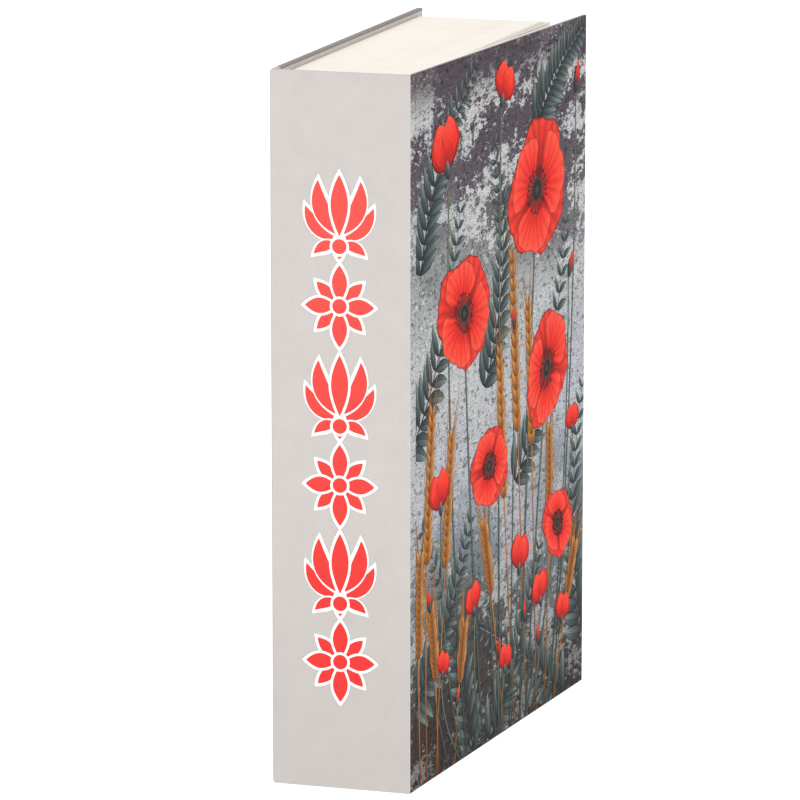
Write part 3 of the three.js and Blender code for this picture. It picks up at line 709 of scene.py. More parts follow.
def draw_bloom(sheet, where, reach, seed, height):
    """An open bloom: three petals behind, three before, a dark eye and a ring of stamens."""
    dice = random.Random(seed)
    petals, stamens = 3, 34
    for ink, first, offset, size in ((PETAL_BACK, 0, 0.5, 1.0), (PETAL, petals, 0.0, 0.93)):
        for k in range(petals):
            facing = (k + offset) * 2 * math.pi / petals + dice.uniform(-0.12, 0.12)
            rows = fan_petal(reach * size * dice.uniform(0.93, 1.04), facing, dice.uniform(0, 6))
            sheet.shape(rows, height + NEXT_PETAL * (first + k), ink, where)
    eye = height + NEXT_PETAL * 2 * petals
    sheet.shape(round_spot((0, 0), reach * 0.17), eye, EYE, where)
    for k in range(stamens):
        way = pointing(2 * math.pi * k / stamens + dice.uniform(-0.06, 0.06))
        near, far = reach * 0.14, reach * dice.uniform(0.27, 0.36)
        for rows in (ribbon([way * near, way * far], (0.55, 0.25)), round_spot(way * far, 0.75, 6)):
            sheet.shape(rows, eye + NEXT_PETAL, EYE, where)


def draw_cup(sheet, where, reach, seed, height):
    """A bloom seen from the side: two petals behind and two before, on a small green cup."""
    dice = random.Random(seed)
    petals = (PETAL_BACK, -0.35, 0.5), (PETAL_BACK, 0.35, 0.5), (PETAL, -0.24, 0.46), (PETAL, 0.3, 0.42)
    for order, (ink, lean, wide) in enumerate(petals):
        tip = Vector((math.sin(lean), math.cos(lean))) * reach * dice.uniform(0.94, 1.06)
        rows = almond((0, -reach * 0.12), tip, reach * wide, bend=-reach * lean * 0.4, belly=1.25)
        sheet.shape(rows, height + NEXT_PETAL * order, ink, where)
    foot = almond((0, -reach * 0.3), (0, reach * 0.14), reach * 0.14)
    sheet.shape(foot, height + NEXT_PETAL * len(petals), FOLIAGE, where)


def draw_bud(sheet, where, reach, seed, height):
    """A closed bud with a slit of red, the same for every seed."""
    sheet.shape(almond((0, -reach * 0.4), (0, reach), reach * 0.36), height, FOLIAGE, where)
    sheet.shape(almond((0, 0), (0, reach * 1.12), reach * 0.2), height + NEXT_PETAL, PETAL, where)


# Geometry nodes


def node_tree(name, **labels):
    """A Geometry Nodes tree with named inputs of each kind, what adds nodes to it, and its inputs."""
    tree = bpy.data.node_groups.new(name, "GeometryNodeTree")
    for kind, names in {"Geometry": "Geometry", **labels, "Material": "Material"}.items():
        for label in names.split(", "):
            tree.interface.new_socket(label, in_out="INPUT", socket_type="NodeSocket" + kind)
    tree.interface.new_socket("Geometry", in_out="OUTPUT", socket_type="NodeSocketGeometry")
    add = functools.partial(add_node, tree)
    return tree, add, add("NodeGroupInput").outputs


def end_tree(add, given, geometry):
    """Ends a tree in Realize Instances and Set Material."""
    real = add("RealizeInstances", [geometry])
    dressed = add("SetMaterial", {"Geometry": real, "Material": given["Material"]})
    add("NodeGroupOutput", [dressed])


def leaf_stack_tree():
    """Leaves of a book between two fans of positions, each cut out by a window with round corners."""
    tree, add, given = node_tree(
        "Leaf stack", Int="Count, Seed", Bool="Window", Vector="Window place",
        Float="Depth, Height, Thickness, Spine from, Spine to, Fore from, Fore to, Middle Y, Middle Z, "
              "Window depth, Window height, Window radius, Fan power, Uneven")
    sheet, hole = (
        add("CurvePrimitiveQuadrilateral", {"Width": given[wide], "Height": given[high]})
        for wide, high in (("Depth", "Height"), ("Window depth", "Window height")))
    rounded = add("FilletCurve", {
        "Curve": hole, "Radius": given["Window radius"], "Count": 4}, mode="POLY")
    moved = add("Transform", {"Geometry": rounded, "Translation": given["Window place"]})
    window = add("JoinGeometry", [[sheet, moved]])
    outline = add("Switch", {
        "Switch": given["Window"], "False": sheet, "True": window}, input_type="GEOMETRY")
    face = add("FillCurve", {"Curve": outline}, mode="NGONS")
    raised = add("ExtrudeMesh", {
        "Mesh": face, "Offset Scale": given["Thickness"], "Individual": False}, mode="FACES")
    both = add("JoinGeometry", [[raised, add("FlipFaces", [face])]])
    leaf = add("MergeByDistance", {"Geometry": both, "Distance": SAME_NEW_POINT})

    # The stack is as thick at the fore-edge as at the spine, and what is over fans its last leaves
    known = {"index": add("InputIndex")}
    for name, operation, *terms in (
            ("step", "ADD", "index", 0.5),
            ("share", "DIVIDE", "step", "Count"),
            ("thick", "SUBTRACT", "Spine to", "Spine from"),
            ("at spine", "MULTIPLY_ADD", "share", "thick", "Spine from"),
            ("closed", "SUBTRACT", "at spine", "Spine from"),
            ("wide", "SUBTRACT", "Fore to", "Fore from"),
            ("extra", "SUBTRACT", "wide", "thick"),
            ("last", "SUBTRACT", "Count", 2),
            ("order", "DIVIDE", "index", "last"),
            ("reached", "MINIMUM", "order", 1),
            ("loosened", "POWER", "reached", "Fan power"),
            ("fanned", "MULTIPLY_ADD", "extra", "loosened", "closed"),
            ("at fore", "ADD", "Fore from", "fanned"),
            ("total", "ADD", "at spine", "at fore"),
            ("middle", "MULTIPLY", "total", 0.5),
            ("apart", "SUBTRACT", "at fore", "at spine"),
            ("fan", "ARCTAN2", "apart", "Depth"),
            ("heading", "SUBTRACT", math.pi / 2, "fan")):
        known[name] = add("Math", [
            (known.get(term) or given[term]) if isinstance(term, str) else term for term in terms],
            operation=operation)
    turn = add("CombineXYZ", {"X": math.pi / 2, "Z": known["heading"]})
    place = add("CombineXYZ", [known["middle"], given["Middle Y"], given["Middle Z"]])
    loose = add("RandomValue", {
        "Min": (0, -1, -1), "Max": (0, 1, 1), "Seed": given["Seed"]}, data_type="FLOAT_VECTOR")
    off = add("VectorMath", {0: loose, "Scale": given["Uneven"]}, operation="SCALE")
    there = add("VectorMath", [place, off], operation="ADD")
    line = add("MeshLine", {"Count": given["Count"]})
    points = add("SetPosition", {"Geometry": line, "Position": there})
    end_tree(add, given, add("InstanceOnPoints", {
        "Points": points, "Instance": leaf, "Rotation": turn}))
    return tree


def pairs_tree():
    """Pairs of one small shape along flat stalks, larger at the foot than at the tip."""
    tree, add, given = node_tree(
        "Pairs along a stalk", Int="Count", Float="Foot size, Tip size, Spread, Rise", Object="Shape")
    points = add("CurveToPoints", {
        "Curve": given["Geometry"], "Count": given["Count"]}, mode="COUNT")
    way = add("SeparateXYZ", [points.outputs["Tangent"]]).outputs
    heading = add("Math", [way["Y"], way["X"]], operation="ARCTAN2")
    index = add("InputIndex")
    order = add("Math", [index, given["Count"]], operation="FLOORED_MODULO")
    share = add("Math", [order, given["Count"]], operation="DIVIDE")
    size = add("MapRange", [share, 0, 1, given["Foot size"], given["Tip size"]])
    shape = add("ObjectInfo", {"Object": given["Shape"], "As Instance": True})
    sides = []
    for side, sign in enumerate((1, -1)):
        varied = add("RandomValue", {
            "Min": 0.88, "Max": 1.12, "ID": index, "Seed": side}, data_type="FLOAT")
        spread, scale = (
            add("Math", [value, varied], operation="MULTIPLY") for value in (given["Spread"], size))
        angle, rise = (add("Math", row, operation="MULTIPLY_ADD") for row in (
            [spread, sign, heading], [index, given["Rise"], 0.5 * NEXT_SHAPE * side]))
        turn, lift = (add("CombineXYZ", {"Z": value}) for value in (angle, rise))
        layered = add("SetPosition", {"Geometry": points, "Offset": lift})
        sides.append(add("InstanceOnPoints", {
            "Points": layered, "Instance": shape.outputs["Geometry"], "Rotation": turn, "Scale": scale}))
    end_tree(add, given, add("JoinGeometry", [sides]))
    return tree


def copies_tree():
    """One shape on each point of a base mesh."""
    tree, add, given = node_tree("Copies on points", Object="Shape", Vector="Turn")
    shape = add("ObjectInfo", {"Object": given["Shape"], "As Instance": True})
    end_tree(add, given, add("InstanceOnPoints", {
        "Points": given["Geometry"], "Instance": shape.outputs["Geometry"], "Rotation": given["Turn"]}))
    return tree


def grown(tree, base, name, **values):
    """The plain mesh that a tree grows from a base object, which goes afterwards."""
    grower = base.modifiers.new(tree.name, "NODES")
    grower.node_group = tree
    for item in tree.interface.items_tree:
        key = item.name.lower().replace(" ", "_")
        if item.in_out == "INPUT" and key in values:
            grower[item.identifier] = values.pop(key)
    if values:
        raise ValueError(f"{tree.name} has no input named {sorted(values)}")
    bpy.context.view_layer.update()
    result = bpy.data.meshes.new_from_object(base.evaluated_get(bpy.context.evaluated_depsgraph_get()))
    result.name = name
    base.modifiers.remove(grower)
    bpy.data.objects.remove(base)
    return result


# Operators


class BOOKSAFE_OT_stage(Operator):
    """Sets the camera, the pale floor and the soft studio lights"""
    bl_idname = "booksafe.stage"
    bl_label = "Stage"

    def execute(self, context):
        stage = context.scene.book_safe_stage
        lens = bpy.data.cameras.new("camera")
        lens.sensor_width = 36
        lens.lens = stage.lens
        lens.clip_start, lens.clip_end = 0.05, 50
        camera = linked("camera", lens)
        a, e = stage.azimuth, stage.elevation
        back = Vector((math.sin(a) * math.cos(e), -math.cos(a) * math.cos(e), math.sin(e)))
        camera.location = stage.camera
        camera.rotation_euler = (-back).to_track_quat("-Z", "Y").to_euler()
        context.scene.camera = camera
        context.scene.view_settings.view_transform = "Standard"

        card = bmesh.new()
        bmesh.ops.create_circle(card, cap_ends=True, segments=64, radius=9)
        floor = wear(linked("floor", closed(card, "floor")), studio_floor(stage))
        floor.location.z = -0.2 * MM

        world = bpy.data.worlds.new("studio")
        context.scene.world = world
        world.use_nodes = True
        sky = world.node_tree.nodes["Background"].inputs
        sky["Color"].default_value = (1, 1, 1, 1)
        sky["Strength"].default_value = stage.sky
        book_middle = Vector((0, 0.08, 0.12))
        for name, kind, power, place, size in (
                ("overhead_light", "SUN", stage.overhead, (-0.5, -0.9, 2.2), math.radians(70)),
                ("front_light", "AREA", stage.front, (-0.7, -1.9, 0.9), 1.2),
                ("side_light", "AREA", stage.side, (1.9, -0.5, 0.8), 1.2)):
            lamp = bpy.data.lights.new(name, kind)
            lamp.energy = power
            setattr(lamp, "angle" if kind == "SUN" else "size", size)
            holder = linked(name, lamp)
            holder.location = place
            aim = book_middle - Vector(place)
            holder.rotation_euler = aim.to_track_quat("-Z", "Y").to_euler()
        return {"FINISHED"}


class BOOKSAFE_OT_case(Operator):
    """Covers the boards and the spine with printed paper"""
    bl_idname = "booksafe.case"
    bl_label = "Case"

    def execute(self, context):
        inks, sizes = context.scene.book_safe_inks, context.scene.book_safe_sizes
        # The front's print ends on the edge of the board
        front_end = 0.95 * MM - COVER_OUT.dot(CREASE["spine_crease"])
        back_end = -SPINE_LOW.y - sizes.plain_margin
        fibre = linear("#CDC5BE")
        MATERIALS.update(
            spine=linen_grain_paper(inks, sizes),
            front=weathered_print("weathered_print_front", 0.0, -COVER_OUT, front_end, inks.bare_sheet),
            back=weathered_print(
                "weathered_print_back", 0.37, Vector((0, -1, 0)), back_end, inks.spine_light),
            board=pressed_greyboard(inks),
            endpaper=uncoated_paper("uncoated_endpaper", inks.endpaper, fibre),
            # The back endpaper is darkened by painted shade where it meets the leaves
            dusty_endpaper=uncoated_paper("dusty_endpaper", inks.endpaper, fibre, crevice_shade=0.22),
            mull=uncoated_paper("mull_and_lining", linear("#D8CFC0"), linear("#C8BDAB"), 0.8))
        for node, name, material, outwards in (
                ("spine_wrap", "spine_cover_paper", "spine", None),
                ("back_cover_wrap", "back_cover_paper", "back", Vector((-1, 0, 0))),
                ("front_cover_wrap", "front_cover_paper", "front", COVER_OUT)):
            paper = finished_copy(node, name, MATERIALS[material], sizes.edge_radius, 3)
            if material != "front":
                soften_back_corners(paper)
            if outwards:
                mark_edge_wear(paper, outwards)
        for node, material in (
                ("spine_board", "board"), ("back_cover_board", "board"), ("front_cover_board", "board"),
                ("front_pastedown", "endpaper"), ("back_pastedown", "dusty_endpaper"),
                ("spine_lining", "mull")):
            wear(frame["nodes"][node], MATERIALS[material])
        return {"FINISHED"}


class BOOKSAFE_OT_joint(Operator):
    """Bridges the two creases of the front cover with strips of paper"""
    bl_idname = "booksafe.joint"
    bl_label = "Flexible joint"

    def strip(self, name, foot, start, end, depths, steps=10):
        """A strip of sheet along the cover from start to end and between two depths, in metres."""
        places = (start + (end - start) * i / steps for i in range(steps + 1))
        return lofted(name, [
            [foot + COVER_ALONG * along - COVER_OUT * depths[side] + UP * z
             for side, z in ((0, 0), (0, BOOK_HEIGHT), (1, BOOK_HEIGHT), (1, 0))] for along in places])

    def execute(self, context):
        inks = context.scene.book_safe_inks
        MATERIALS["fold"] = uncoated_paper("rubbed_fold", inks.fold, linear("#C9BDAE"), 1.5)
        foot = CREASE["spine_crease"].copy()
        foot.z = SPINE_LOW.z
        # Places along the cover from the crease at the spine, and depths under its face
        board_edge = (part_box("front_cover_board")[0] - foot).xy.dot(COVER_ALONG.xy)
        middle = 2.6 * MM
        proud, outer, inner = (-0.01 * MM, 0.22 * MM), (0, 0.22 * MM), (0.24 * MM, 0.42 * MM)
        # Two body names and two places along the cover, from the start to the end of a bend
        at_spine = "case", "cover_joint", 0.02 * MM, 1.6 * MM
        under_spine = "case", "cover_joint", 0.4 * MM, 1.8 * MM
        at_board = "cover_joint", "front_cover", middle + MM, JOINT.length + 0.1 * MM
        for name, start, end, depths, bend, material, slot in (
                ("fold_paper", 0.02 * MM, 0.55 * MM, proud, at_spine, "fold", "joint_cloth"),
                ("joint_print_at_spine", 0.56 * MM, middle, outer, at_spine, "front", "cover_print"),
                ("joint_print_at_board", middle, board_edge, outer, at_board, "front", "cover_print"),
                ("joint_endpaper_at_spine", 0.4 * MM, middle, inner, under_spine, "endpaper", "endpaper"),
                ("joint_endpaper_at_board", middle, board_edge, inner, at_board, "endpaper", "endpaper")):
            piece = wear(self.strip(name, foot, start, end, depths), MATERIALS[material])
            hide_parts("front_joint_strip")
            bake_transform(piece)
        return {"FINISHED"}


class BOOKSAFE_OT_spine_print(Operator):
    """Prints six red ornaments with a white outline down the spine"""
    bl_idname = "booksafe.spine_print"
    bl_label = "Spine print"

    def bloom(self, y):
        """The petals of an upright bloom, those behind first: foot, tip, half width, bend and belly."""
        for side in (-1, 1):
            yield (side * 1.0, y - 8.0), (side * 12.2, y + 3.2), 2.5, -side * 4.4, 0.95
            yield (side * 0.8, y - 10.0), (side * 9.2, y - 13.4), 1.8, side * 2.5, 0.95
        for side in (-1, 1):
            yield (side * 0.6, y - 6.5), (side * 7.6, y + 12.2), 2.9, -side * 5.0, 1.0
        yield (0, y - 15.0), (0, y - 5.0), 2.0, 0, 0.9
        yield (0, y - 7.0), (0, y + 14.2), 3.1, 0, 1.05

    def star(self, y):
        """The petals of a star with eight points, those behind first."""
        for k in range(8):
            turn = math.pi / 4 * (2 * k + 1 if k < 4 else 2 * (k - 4))
            reach = 11.6 if k < 4 else 14.2 if k % 2 else 12.4
            way = pointing(turn)
            yield (way.x, y + way.y), (way.x * reach, y + way.y * reach), 2.1 if k < 4 else 2.7, 0, 1.1

    def execute(self, context):
        inks, sizes = context.scene.book_safe_inks, context.scene.book_safe_sizes
        sheet = DrawnSheet()
        grow = sizes.outline / MM
        # How many, between which levels, and the radius and the layer of their hearts
        count, low, high, heart, heart_layer = 6, 29.5, 216.5, 2.6, 18
        pitch = (high - low) / count
        for i in range(count):
            middle = low + pitch * (i + 0.5)
            upright = i % 2
            for order, petal in enumerate(self.bloom(middle) if upright else self.star(middle)):
                for ink, wider in enumerate((grow, 0)):
                    sheet.shape(almond(*petal, wider), 2 * order + ink + 0.5 * upright, ink)
            for ink, wider in enumerate((grow, 0)):
                spot = round_spot((0, middle - 10.5 * upright), heart + wider)
                sheet.shape(spot, heart_layer + ink, ink)
        face = (1, 0, 0), (0, -1, 0), ((SPINE_LOW.x + SPINE_HIGH.x) / 2, SPINE_LOW.y)
        sheet.printed("spine_ornaments", face, [
            flat_ink("white_outline_ink", inks.spine_outline, inks.spine_outline, 0.03),
            flat_ink("solid_red_ink", inks.spine_ink, inks.spine_ink_deep, 0.05)],
            sizes.ink_film, "case", "spine_paper")
        return {"FINISHED"}


# Each ink of the picture, in the order of their numbers: its colours along a shape, its tones across
# the shape, and how strong its veins are
PICTURE_INKS = {
    "petal_red_ink": ([
        (0.0, "#5E0F12"), (0.22, "#A81C1B"), (0.5, "#E02A20"), (0.86, "#F84736"), (0.97, "#F25440"),
        (1.0, "#9E1D1A")], [(0.0, "#A84A44"), (0.05, 1.0), (0.95, 1.0), (1.0, "#A84A44")], 0.2),
    "shaded_petal_red_ink": ([
        (0.0, "#4A0C10"), (0.35, "#9C1818"), (0.75, "#D22B23"), (0.96, "#E03A2D"), (1.0, "#841714")],
        [(0.0, "#9A403C"), (0.05, 1.0), (0.95, 1.0), (1.0, "#9A403C")], 0.24),
    "near_black_ink": ([(0.0, "#4A4A3A"), (0.5, "#2A2024"), (1.0, "#1E171B")], [(0.0, 1.0), (1.0, 1.0)]),
    "grey_green_stalk_ink": ([(0.0, "#3C423C"), (0.6, "#5F6B5C"), (1.0, "#6F7B66")],
                             [(0.0, "#8A8A8A"), (0.3, 1.0), (0.7, "#F0F0F0"), (1.0, "#6A6A6A")]),
    "slate_foliage_ink": ([(0.0, "#2A3236"), (0.5, "#576465"), (1.0, "#8B9A93")], [
        (0.0, "#5E5E5E"), (0.12, "#E6E6E6"), (0.47, 1.0), (0.5, "#5A5A5A"), (0.53, "#C4C4C4"),
        (0.88, "#B4B4B4"), (1.0, "#505050")], 0.12),
    "ochre_straw_ink": ([(0.0, "#7A4A22"), (0.4, "#B67B3E"), (0.8, "#D9A35E"), (1.0, "#C98C4A")], [
        (0.0, "#5A4028"), (0.14, 1.0), (0.5, "#E8D8C0"), (0.56, "#8A6A48"), (0.62, "#F0E0C8"),
        (0.86, "#D8C0A0"), (1.0, "#4A3420")], 0.1),
}

# Places and lengths on the front cover in millimetres, from its foot at the joint; turns in degrees
BLOOMS = (
    # across, up, reach, turn, foreshortening
    (120, 193, 29, 20, 0.86), (50, 160, 25, -15, 0.80), (131, 126, 23, 50, 0.82), (74, 101, 19, 5, 0.78),
    (143, 66, 16, -30, 0.80))
CUPS = (
    # across, up, reach, turn, as for the buds
    (34, 214, 17, 14), (86, 231, 13, -22), (28, 96, 13, 10), (104, 58, 12, -8), (60, 52, 10, 16),
    (126, 41, 11, 12), (148, 29, 10, -10), (158, 99, 9, 6), (90, 24, 9, -6), (30, 36, 8, -14))
BUDS = (
    (160, 226, 8, -12), (154, 158, 7, -25), (98, 148, 6, 12), (18, 62, 6, 8), (84, 30, 6, -6),
    (124, 26, 6, 14), (44, 22, 5, -10), (110, 38, 6, 8))
EARS = (
    # foot, bend and tip of a stalk, as for the fronds
    ((112, 0), (104, 90), (96, 170)), ((122, 0), (118, 90), (112, 150)), ((100, 0), (90, 70), (84, 138)),
    ((130, 0), (136, 60), (134, 100)), ((90, 0), (78, 50), (70, 78)), ((16, 0), (12, 60), (20, 128)),
    ((24, 0), (30, 60), (38, 116)), ((140, 0), (150, 30), (160, 52)), ((26, 0), (26, 26), (20, 58)),
    ((42, 0), (44, 22), (50, 46)), ((10, 0), (7, 34), (9, 78)))
FRONDS = (
    ((170, 20), (150, 60), (168, 112)), ((60, 0), (40, 60), (12, 90)), ((76, 0), (110, 30), (124, 60)),
    ((0, 120), (30, 140), (46, 196)), ((100, 90), (140, 120), (150, 176)),
    ((70, 130), (100, 170), (78, 214)), ((150, 0), (120, 20), (66, 44)), ((2, 30), (30, 40), (56, 84)),
    ((120, 216), (140, 236), (166, 246)), ((10, 180), (20, 220), (60, 244)))
HEADS = (
    # what draws it, height, next one's rise, first seed; the stem's start and bend, each a share of the
    # head's place across and millimetres more, the bend's share of its height, the share of its reach
    # at which the stem meets it, and the stem's widths
    (draw_bloom, HEIGHT["bloom"], NEXT_SHAPE, 1, (0.5, 45), (0.8, 15), 0.5, 0.0, (1.7, 1.3)),
    (draw_cup, HEIGHT["cup"], 0, 20, (0.6, 34), (0.95, 0), 0.45, 0.3, (1.5, 1.1)),
    (draw_bud, HEIGHT["cup"], 0, 0, (0.7, 26), (1, 0), 0.5, 0.4, (1.2, 0.9)))
PAIRS = (
    # name and what it is on; length, half width, bend, belly and steps of one; ink, pairs on a stalk,
    # sizes at its foot and tip, and spread from it
    ("grain", "straw", (8.5, 1.7, 0, 0.8, 8), STRAW, 13, (1.05, 0.75), 24),
    ("awn", "straw", (26, 0.28, 0, 0.6, 6), STRAW, 9, (1.0, 0.8), 13),
    ("leaflet", "frond", (15, 2.5, 2, 0.85, 8), FOLIAGE, 17, (1.15, 0.35), 52))


class BOOKSAFE_OT_cover_prints(Operator):
    """Prints blooms, straw and fronds on the front cover, and a sparser spray on the back"""
    bl_idname = "booksafe.cover_prints"
    bl_label = "Cover prints"

    def stalks(self, name, lines):
        """Flat stalks as one curve object in millimetres."""
        flat = bpy.data.curves.new(name, "CURVE")
        flat.dimensions = "3D"
        for line in lines:
            points = bent_line(*line, steps=24)
            spline = flat.splines.new("POLY")
            spline.points.add(len(points) - 1)
            for point, here in zip(spline.points, points):
                point.co = (*here, 0, 1)
        return linked(name, flat)

    def upper(self, line, share):
        """The part of a stalk beyond a share of its length, bent no more."""
        start, middle, end = (Vector(p) for p in line)
        low = curve_point(start, middle, end, share)
        half_way = curve_point(start, middle, end, (1 + share) / 2)
        return low, half_way * 2 - (low + end) / 2, end

    def drawing(self, inks, heads, straw, fronds):
        """One cover's drawing, as a sheet in millimetres."""
        sheet = DrawnSheet()
        stems = itertools.count()
        for (draw, height, rise, seed, start, bend, bend_up, drop, widths), places in zip(HEADS, heads):
            for order, (x, y, reach, turn, *squash) in enumerate(places):
                lean = math.radians(turn)
                top = (x + math.sin(lean) * reach * drop, y - math.cos(lean) * reach * drop)
                stem = bent_line((x * start[0] + start[1], -4), (x * bend[0] + bend[1], y * bend_up), top)
                sheet.shape(ribbon(stem, widths), HEIGHT["stem"] + NEXT_SHAPE * next(stems), STALK)
                draw(sheet, ((x, y), lean, *(squash or [1])), reach, seed + order, height + rise * order)
        for kind, lines, widths, ink in (
                ("straw", straw, (1.3, 0.8), STRAW), ("frond", fronds, (1.1, 0.5), FOLIAGE)):
            for order, line in enumerate(lines):
                sheet.shape(ribbon(bent_line(*line), widths), HEIGHT[kind] + NEXT_SHAPE * order, ink)
        carriers = {"straw": [self.upper(line, 0.62) for line in straw], "frond": fronds}
        pairs = pairs_tree()
        for name, carrier, (run, *form, steps), ink, count, (foot_size, tip_size), spread in PAIRS:
            small = DrawnSheet()
            small.shape(almond((0, 0), (run, 0), *form, steps=steps))
            shape = linked(name, small.mesh(name, 0))
            shape.data.transform(Matrix.Scale(1 / MM, 4))
            mesh = grown(
                pairs, self.stalks(name, carriers[carrier]), name, shape=shape, material=inks[ink],
                count=count, foot_size=foot_size, tip_size=tip_size, spread=math.radians(spread),
                rise=NEXT_SHAPE)
            bpy.data.objects.remove(shape)
            mesh.transform(Matrix.Translation((0, 0, HEIGHT[name])))
            for polygon in mesh.polygons:
                polygon.material_index = ink
            sheet.bm.from_mesh(mesh)
        return sheet

    def execute(self, context):
        sizes = context.scene.book_safe_sizes
        inks = [shaped_ink(name, *stops) for name, stops in PICTURE_INKS.items()]
        front = COVER_ALONG, COVER_OUT, CREASE["spine_crease"].xy
        back = (0, 1, 0), (-1, 0, 0), (BACK_LOW.x, SPINE_LOW.y)
        edge = 0.35
        for name, face, body, margin, parts in (
                ("front_cover_picture", front, "front_cover", JOINT.length + 0.5 * MM,
                 ((BLOOMS, CUPS, BUDS), EARS, FRONDS)),
                ("back_cover_picture", back, "case", sizes.plain_margin,
                 ((BLOOMS[1:2], CUPS[2:4], BUDS[2:6]), EARS[3:7], FRONDS[2:8]))):
            sheet = self.drawing(inks, *parts)
            sheet.trimmed(margin / MM, COVER_DEPTH / MM - edge, edge, BOOK_HEIGHT / MM - edge)
            sheet.printed(name, face, inks, sizes.ink_film, body, "cover_print")
        return {"FINISHED"}


class BOOKSAFE_OT_leaves(Operator):
    """Cuts the leaves and the window that holds the cash box"""
    bl_idname = "booksafe.leaves"
    bl_label = "Leaves"

    def execute(self, context):
        inks, sizes = context.scene.book_safe_inks, context.scene.book_safe_sizes
        material, tree = cut_leaf_edges(inks), leaf_stack_tree()
        nodes = ("base_gathering", *(f"cut_gathering_{i}" for i in range(1, 5)))
        corners = {node: [v.co for v in frame["nodes"][node].data.vertices] for node in nodes}
        low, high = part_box(nodes[0])
        foot, fore = low.y + 0.1 * MM, high.y - 0.1 * MM
        # Where each gathering starts and ends at the spine, and then at the fore-edge
        ends = [[select(p.x for p in corners[node] if beside(p.y)) for node in nodes]
                for beside in (lambda y: y < foot, lambda y: y > fore) for select in (min, max)]
        for starts, stops in (ends[:2], ends[2:]):
            for i in range(len(nodes) - 1):
                starts[i + 1] = stops[i] = (starts[i + 1] + stops[i]) / 2
        for seed, (node, spine_from, spine_to, fore_from, fore_to) in enumerate(zip(nodes, *ends)):
            low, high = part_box(node)
            middle = (low + high) / 2
            inner = [p for p in corners[node]
                     if low.y + MM < p.y < high.y - MM and low.z + MM < p.z < high.z - MM]
            # A gathering without a window is given a small one that isn't cut
            (y0, y1), (z0, z1) = ((min(side), max(side)) for side in (
                [p.y for p in inner] or (0, 0.01), [p.z for p in inner] or (0, 0.01)))
            count = max(2, round((spine_to - spine_from) / sizes.leaf_pitch))
            mesh = grown(
                tree, linked(node + "_leaves", bpy.data.meshes.new("empty")), node + "_leaves",
                count=count, depth=high.y - low.y, height=high.z - low.z,
                thickness=(spine_to - spine_from) / count * sizes.leaf_fill,
                spine_from=spine_from, spine_to=spine_to, fore_from=fore_from, fore_to=fore_to,
                middle_y=middle.y, middle_z=middle.z, window=bool(inner), window_depth=y1 - y0,
                window_height=z1 - z0, window_radius=3.6 * MM,
                window_place=((y0 + y1) / 2 - middle.y, (z0 + z1) / 2 - middle.z, 0),
                fan_power=24 if node == nodes[-1] else 1.5, uneven=sizes.leaf_uneven, seed=seed + 11,
                material=material)
            leaves = linked("leaves_" + node, mesh)
            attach(leaves, frame["nodes"][node]["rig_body"])
            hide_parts(node)
        return {"FINISHED"}


class BOOKSAFE_OT_cash_box(Operator):
    """Coats the steel tray and lid, and rounds the edges of their sheet"""
    bl_idname = "booksafe.cash_box"
    bl_label = "Cash box"

    def execute(self, context):
        edge = context.scene.book_safe_sizes.steel_edge
        coat = textured_powder_coat()
        MATERIALS["zinc"] = worked_metal("bright_zinc_plate", "#C9CDD0", "#B4B8BD", 0.3, 0.03)
        for node, name, material in (
                ("cash_box_tray", "steel_tray", coat), ("cash_box_lid", "steel_lid", coat),
                ("lock_strike", "welded_strike", MATERIALS["zinc"])):
            finished_copy(node, name, material, edge, 2)
        return {"FINISHED"}


class BOOKSAFE_OT_hinge(Operator):
    """Finishes the piano hinge and sets its round-headed rivets"""
    bl_idname = "booksafe.hinge"
    bl_label = "Piano hinge"

    def turned(self, name, profile, steps=28):
        """A closed solid turned about X from (radius, level) pairs in millimetres, from low to high."""
        turns = [2 * math.pi * i / steps for i in range(steps)]
        return lofted(name, [
            [(level * MM, radius * MM * math.cos(a), radius * MM * math.sin(a))
             for a in (turns if radius else [0])] for radius, level in profile])

    def execute(self, context):
        edge = context.scene.book_safe_sizes.lock_edge
        for node in ("hinge_leaf_tray", "hinge_leaf_lid", "hinge_pin"):
            finished_copy(node, "plated_" + node, MATERIALS["zinc"], edge, 1)
        copies = copies_tree()
        for side, body, turn, along, sign in (
                ("lid", "box_lid", 0.0, 0, 1), ("tray", "case", -math.pi / 2, 1, -1)):
            nodes = [f"{side}_rivet_{i}" for i in range(1, 5)]
            boxes = [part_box(node) for node in nodes]
            grip = (boxes[0][1] - boxes[0][0])[along] / MM
            # The tail set inside the box, the shank, and the round head
            head = self.turned(side + "_rivet_shape", [
                (0, 0), (2.0, 0), (2.4, 0.25), (2.4, 0.45), (1.5, 0.5), (1.5, grip - 0.7),
                (2.8, grip - 0.7), (2.75, grip - 0.55), (2.45, grip - 0.35), (1.9, grip - 0.16),
                (1.1, grip - 0.03), (0, grip)])
            shade_smooth(head, 50)
            places = []
            for low, high in boxes:
                place = (low + high) / 2
                place[along] = low[along] if sign > 0 else high[along]
                places.append(place)
            name = side + "_rivets"
            base = bpy.data.meshes.new(side + "_rivet_places")
            base.from_pydata(places, [], [])
            mesh = grown(copies, linked(name + "_places", base), name, shape=head, turn=(0, 0, turn),
                         material=MATERIALS["zinc"])
            bpy.data.objects.remove(head)
            row = linked(name, mesh)
            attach(row, body)
            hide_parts(*nodes)
        return {"FINISHED"}


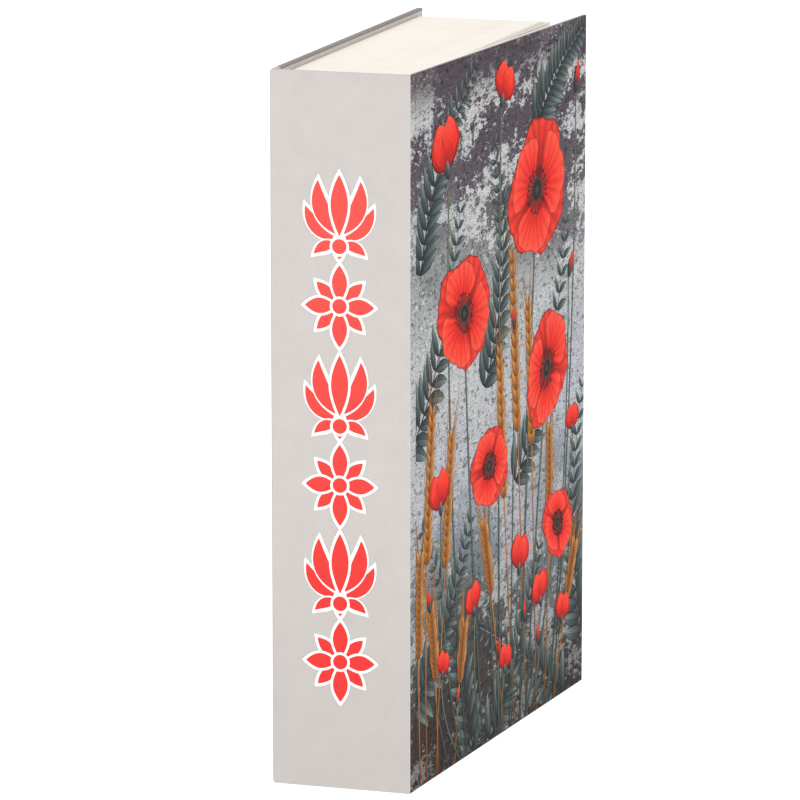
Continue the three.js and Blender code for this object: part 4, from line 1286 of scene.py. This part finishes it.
class BOOKSAFE_OT_lock(Operator):
    """Finishes the cam lock: chromed body, brass plug, plated nut, washer, cam and screw"""
    bl_idname = "booksafe.lock"
    bl_label = "Cam lock"

    def execute(self, context):
        edge, axis = context.scene.book_safe_sizes.lock_edge, CREASE["key_turn"]
        chrome = worked_metal("polished_chrome_plate", "#DADDDF", "#C6CACD", 0.14, 0.05, axis, 0.9)
        brass = worked_metal("turned_brass", "#D3AF62", "#B98F45", 0.27, 0.3, axis, 0.45)
        for name, node, material in (
                ("chromed_", "lock_body", chrome), ("brass_", "lock_plug", brass),
                *(("plated_", node, MATERIALS["zinc"])
                  for node in ("lock_washer", "lock_nut", "lock_cam", "cam_screw"))):
            finished_copy(node, name + node, material, edge, 2)
        return {"FINISHED"}


STEPS = ("stage", "case", "joint", "spine_print", "cover_prints", "leaves", "cash_box", "hinge", "lock")


class BOOKSAFE_PT_panel(Panel):
    """Lists the steps of the book safe and their settings"""
    bl_idname = "BOOKSAFE_PT_panel"
    bl_label = "Book Safe"
    bl_space_type = "VIEW_3D"
    bl_region_type = "UI"
    bl_category = "Book Safe"

    def draw(self, context):
        column = self.layout.column(align=True)
        for step in STEPS:
            column.operator("booksafe." + step)
        for settings in SETTINGS:
            group = getattr(context.scene, settings)
            for name in group.__annotations__:
                self.layout.prop(group, name)


SETTINGS = {
    "book_safe_inks": BookSafeInks, "book_safe_sizes": BookSafeSizes, "book_safe_stage": BookSafeStage}
CLASSES = (
    *SETTINGS.values(), BOOKSAFE_OT_stage, BOOKSAFE_OT_case, BOOKSAFE_OT_joint, BOOKSAFE_OT_spine_print,
    BOOKSAFE_OT_cover_prints, BOOKSAFE_OT_leaves, BOOKSAFE_OT_cash_box, BOOKSAFE_OT_hinge,
    BOOKSAFE_OT_lock, BOOKSAFE_PT_panel)


def register():
    for cls in CLASSES:
        bpy.utils.register_class(cls)
    for name, group in SETTINGS.items():
        setattr(Scene, name, bpy.props.PointerProperty(type=group))


def unregister():
    for name in SETTINGS:
        delattr(Scene, name)
    for cls in reversed(CLASSES):
        bpy.utils.unregister_class(cls)


def main():
    """Registers the add-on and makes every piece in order."""
    register()
    for step in STEPS:
        getattr(bpy.ops.booksafe, step)()


if __name__ == "__main__":
    main()
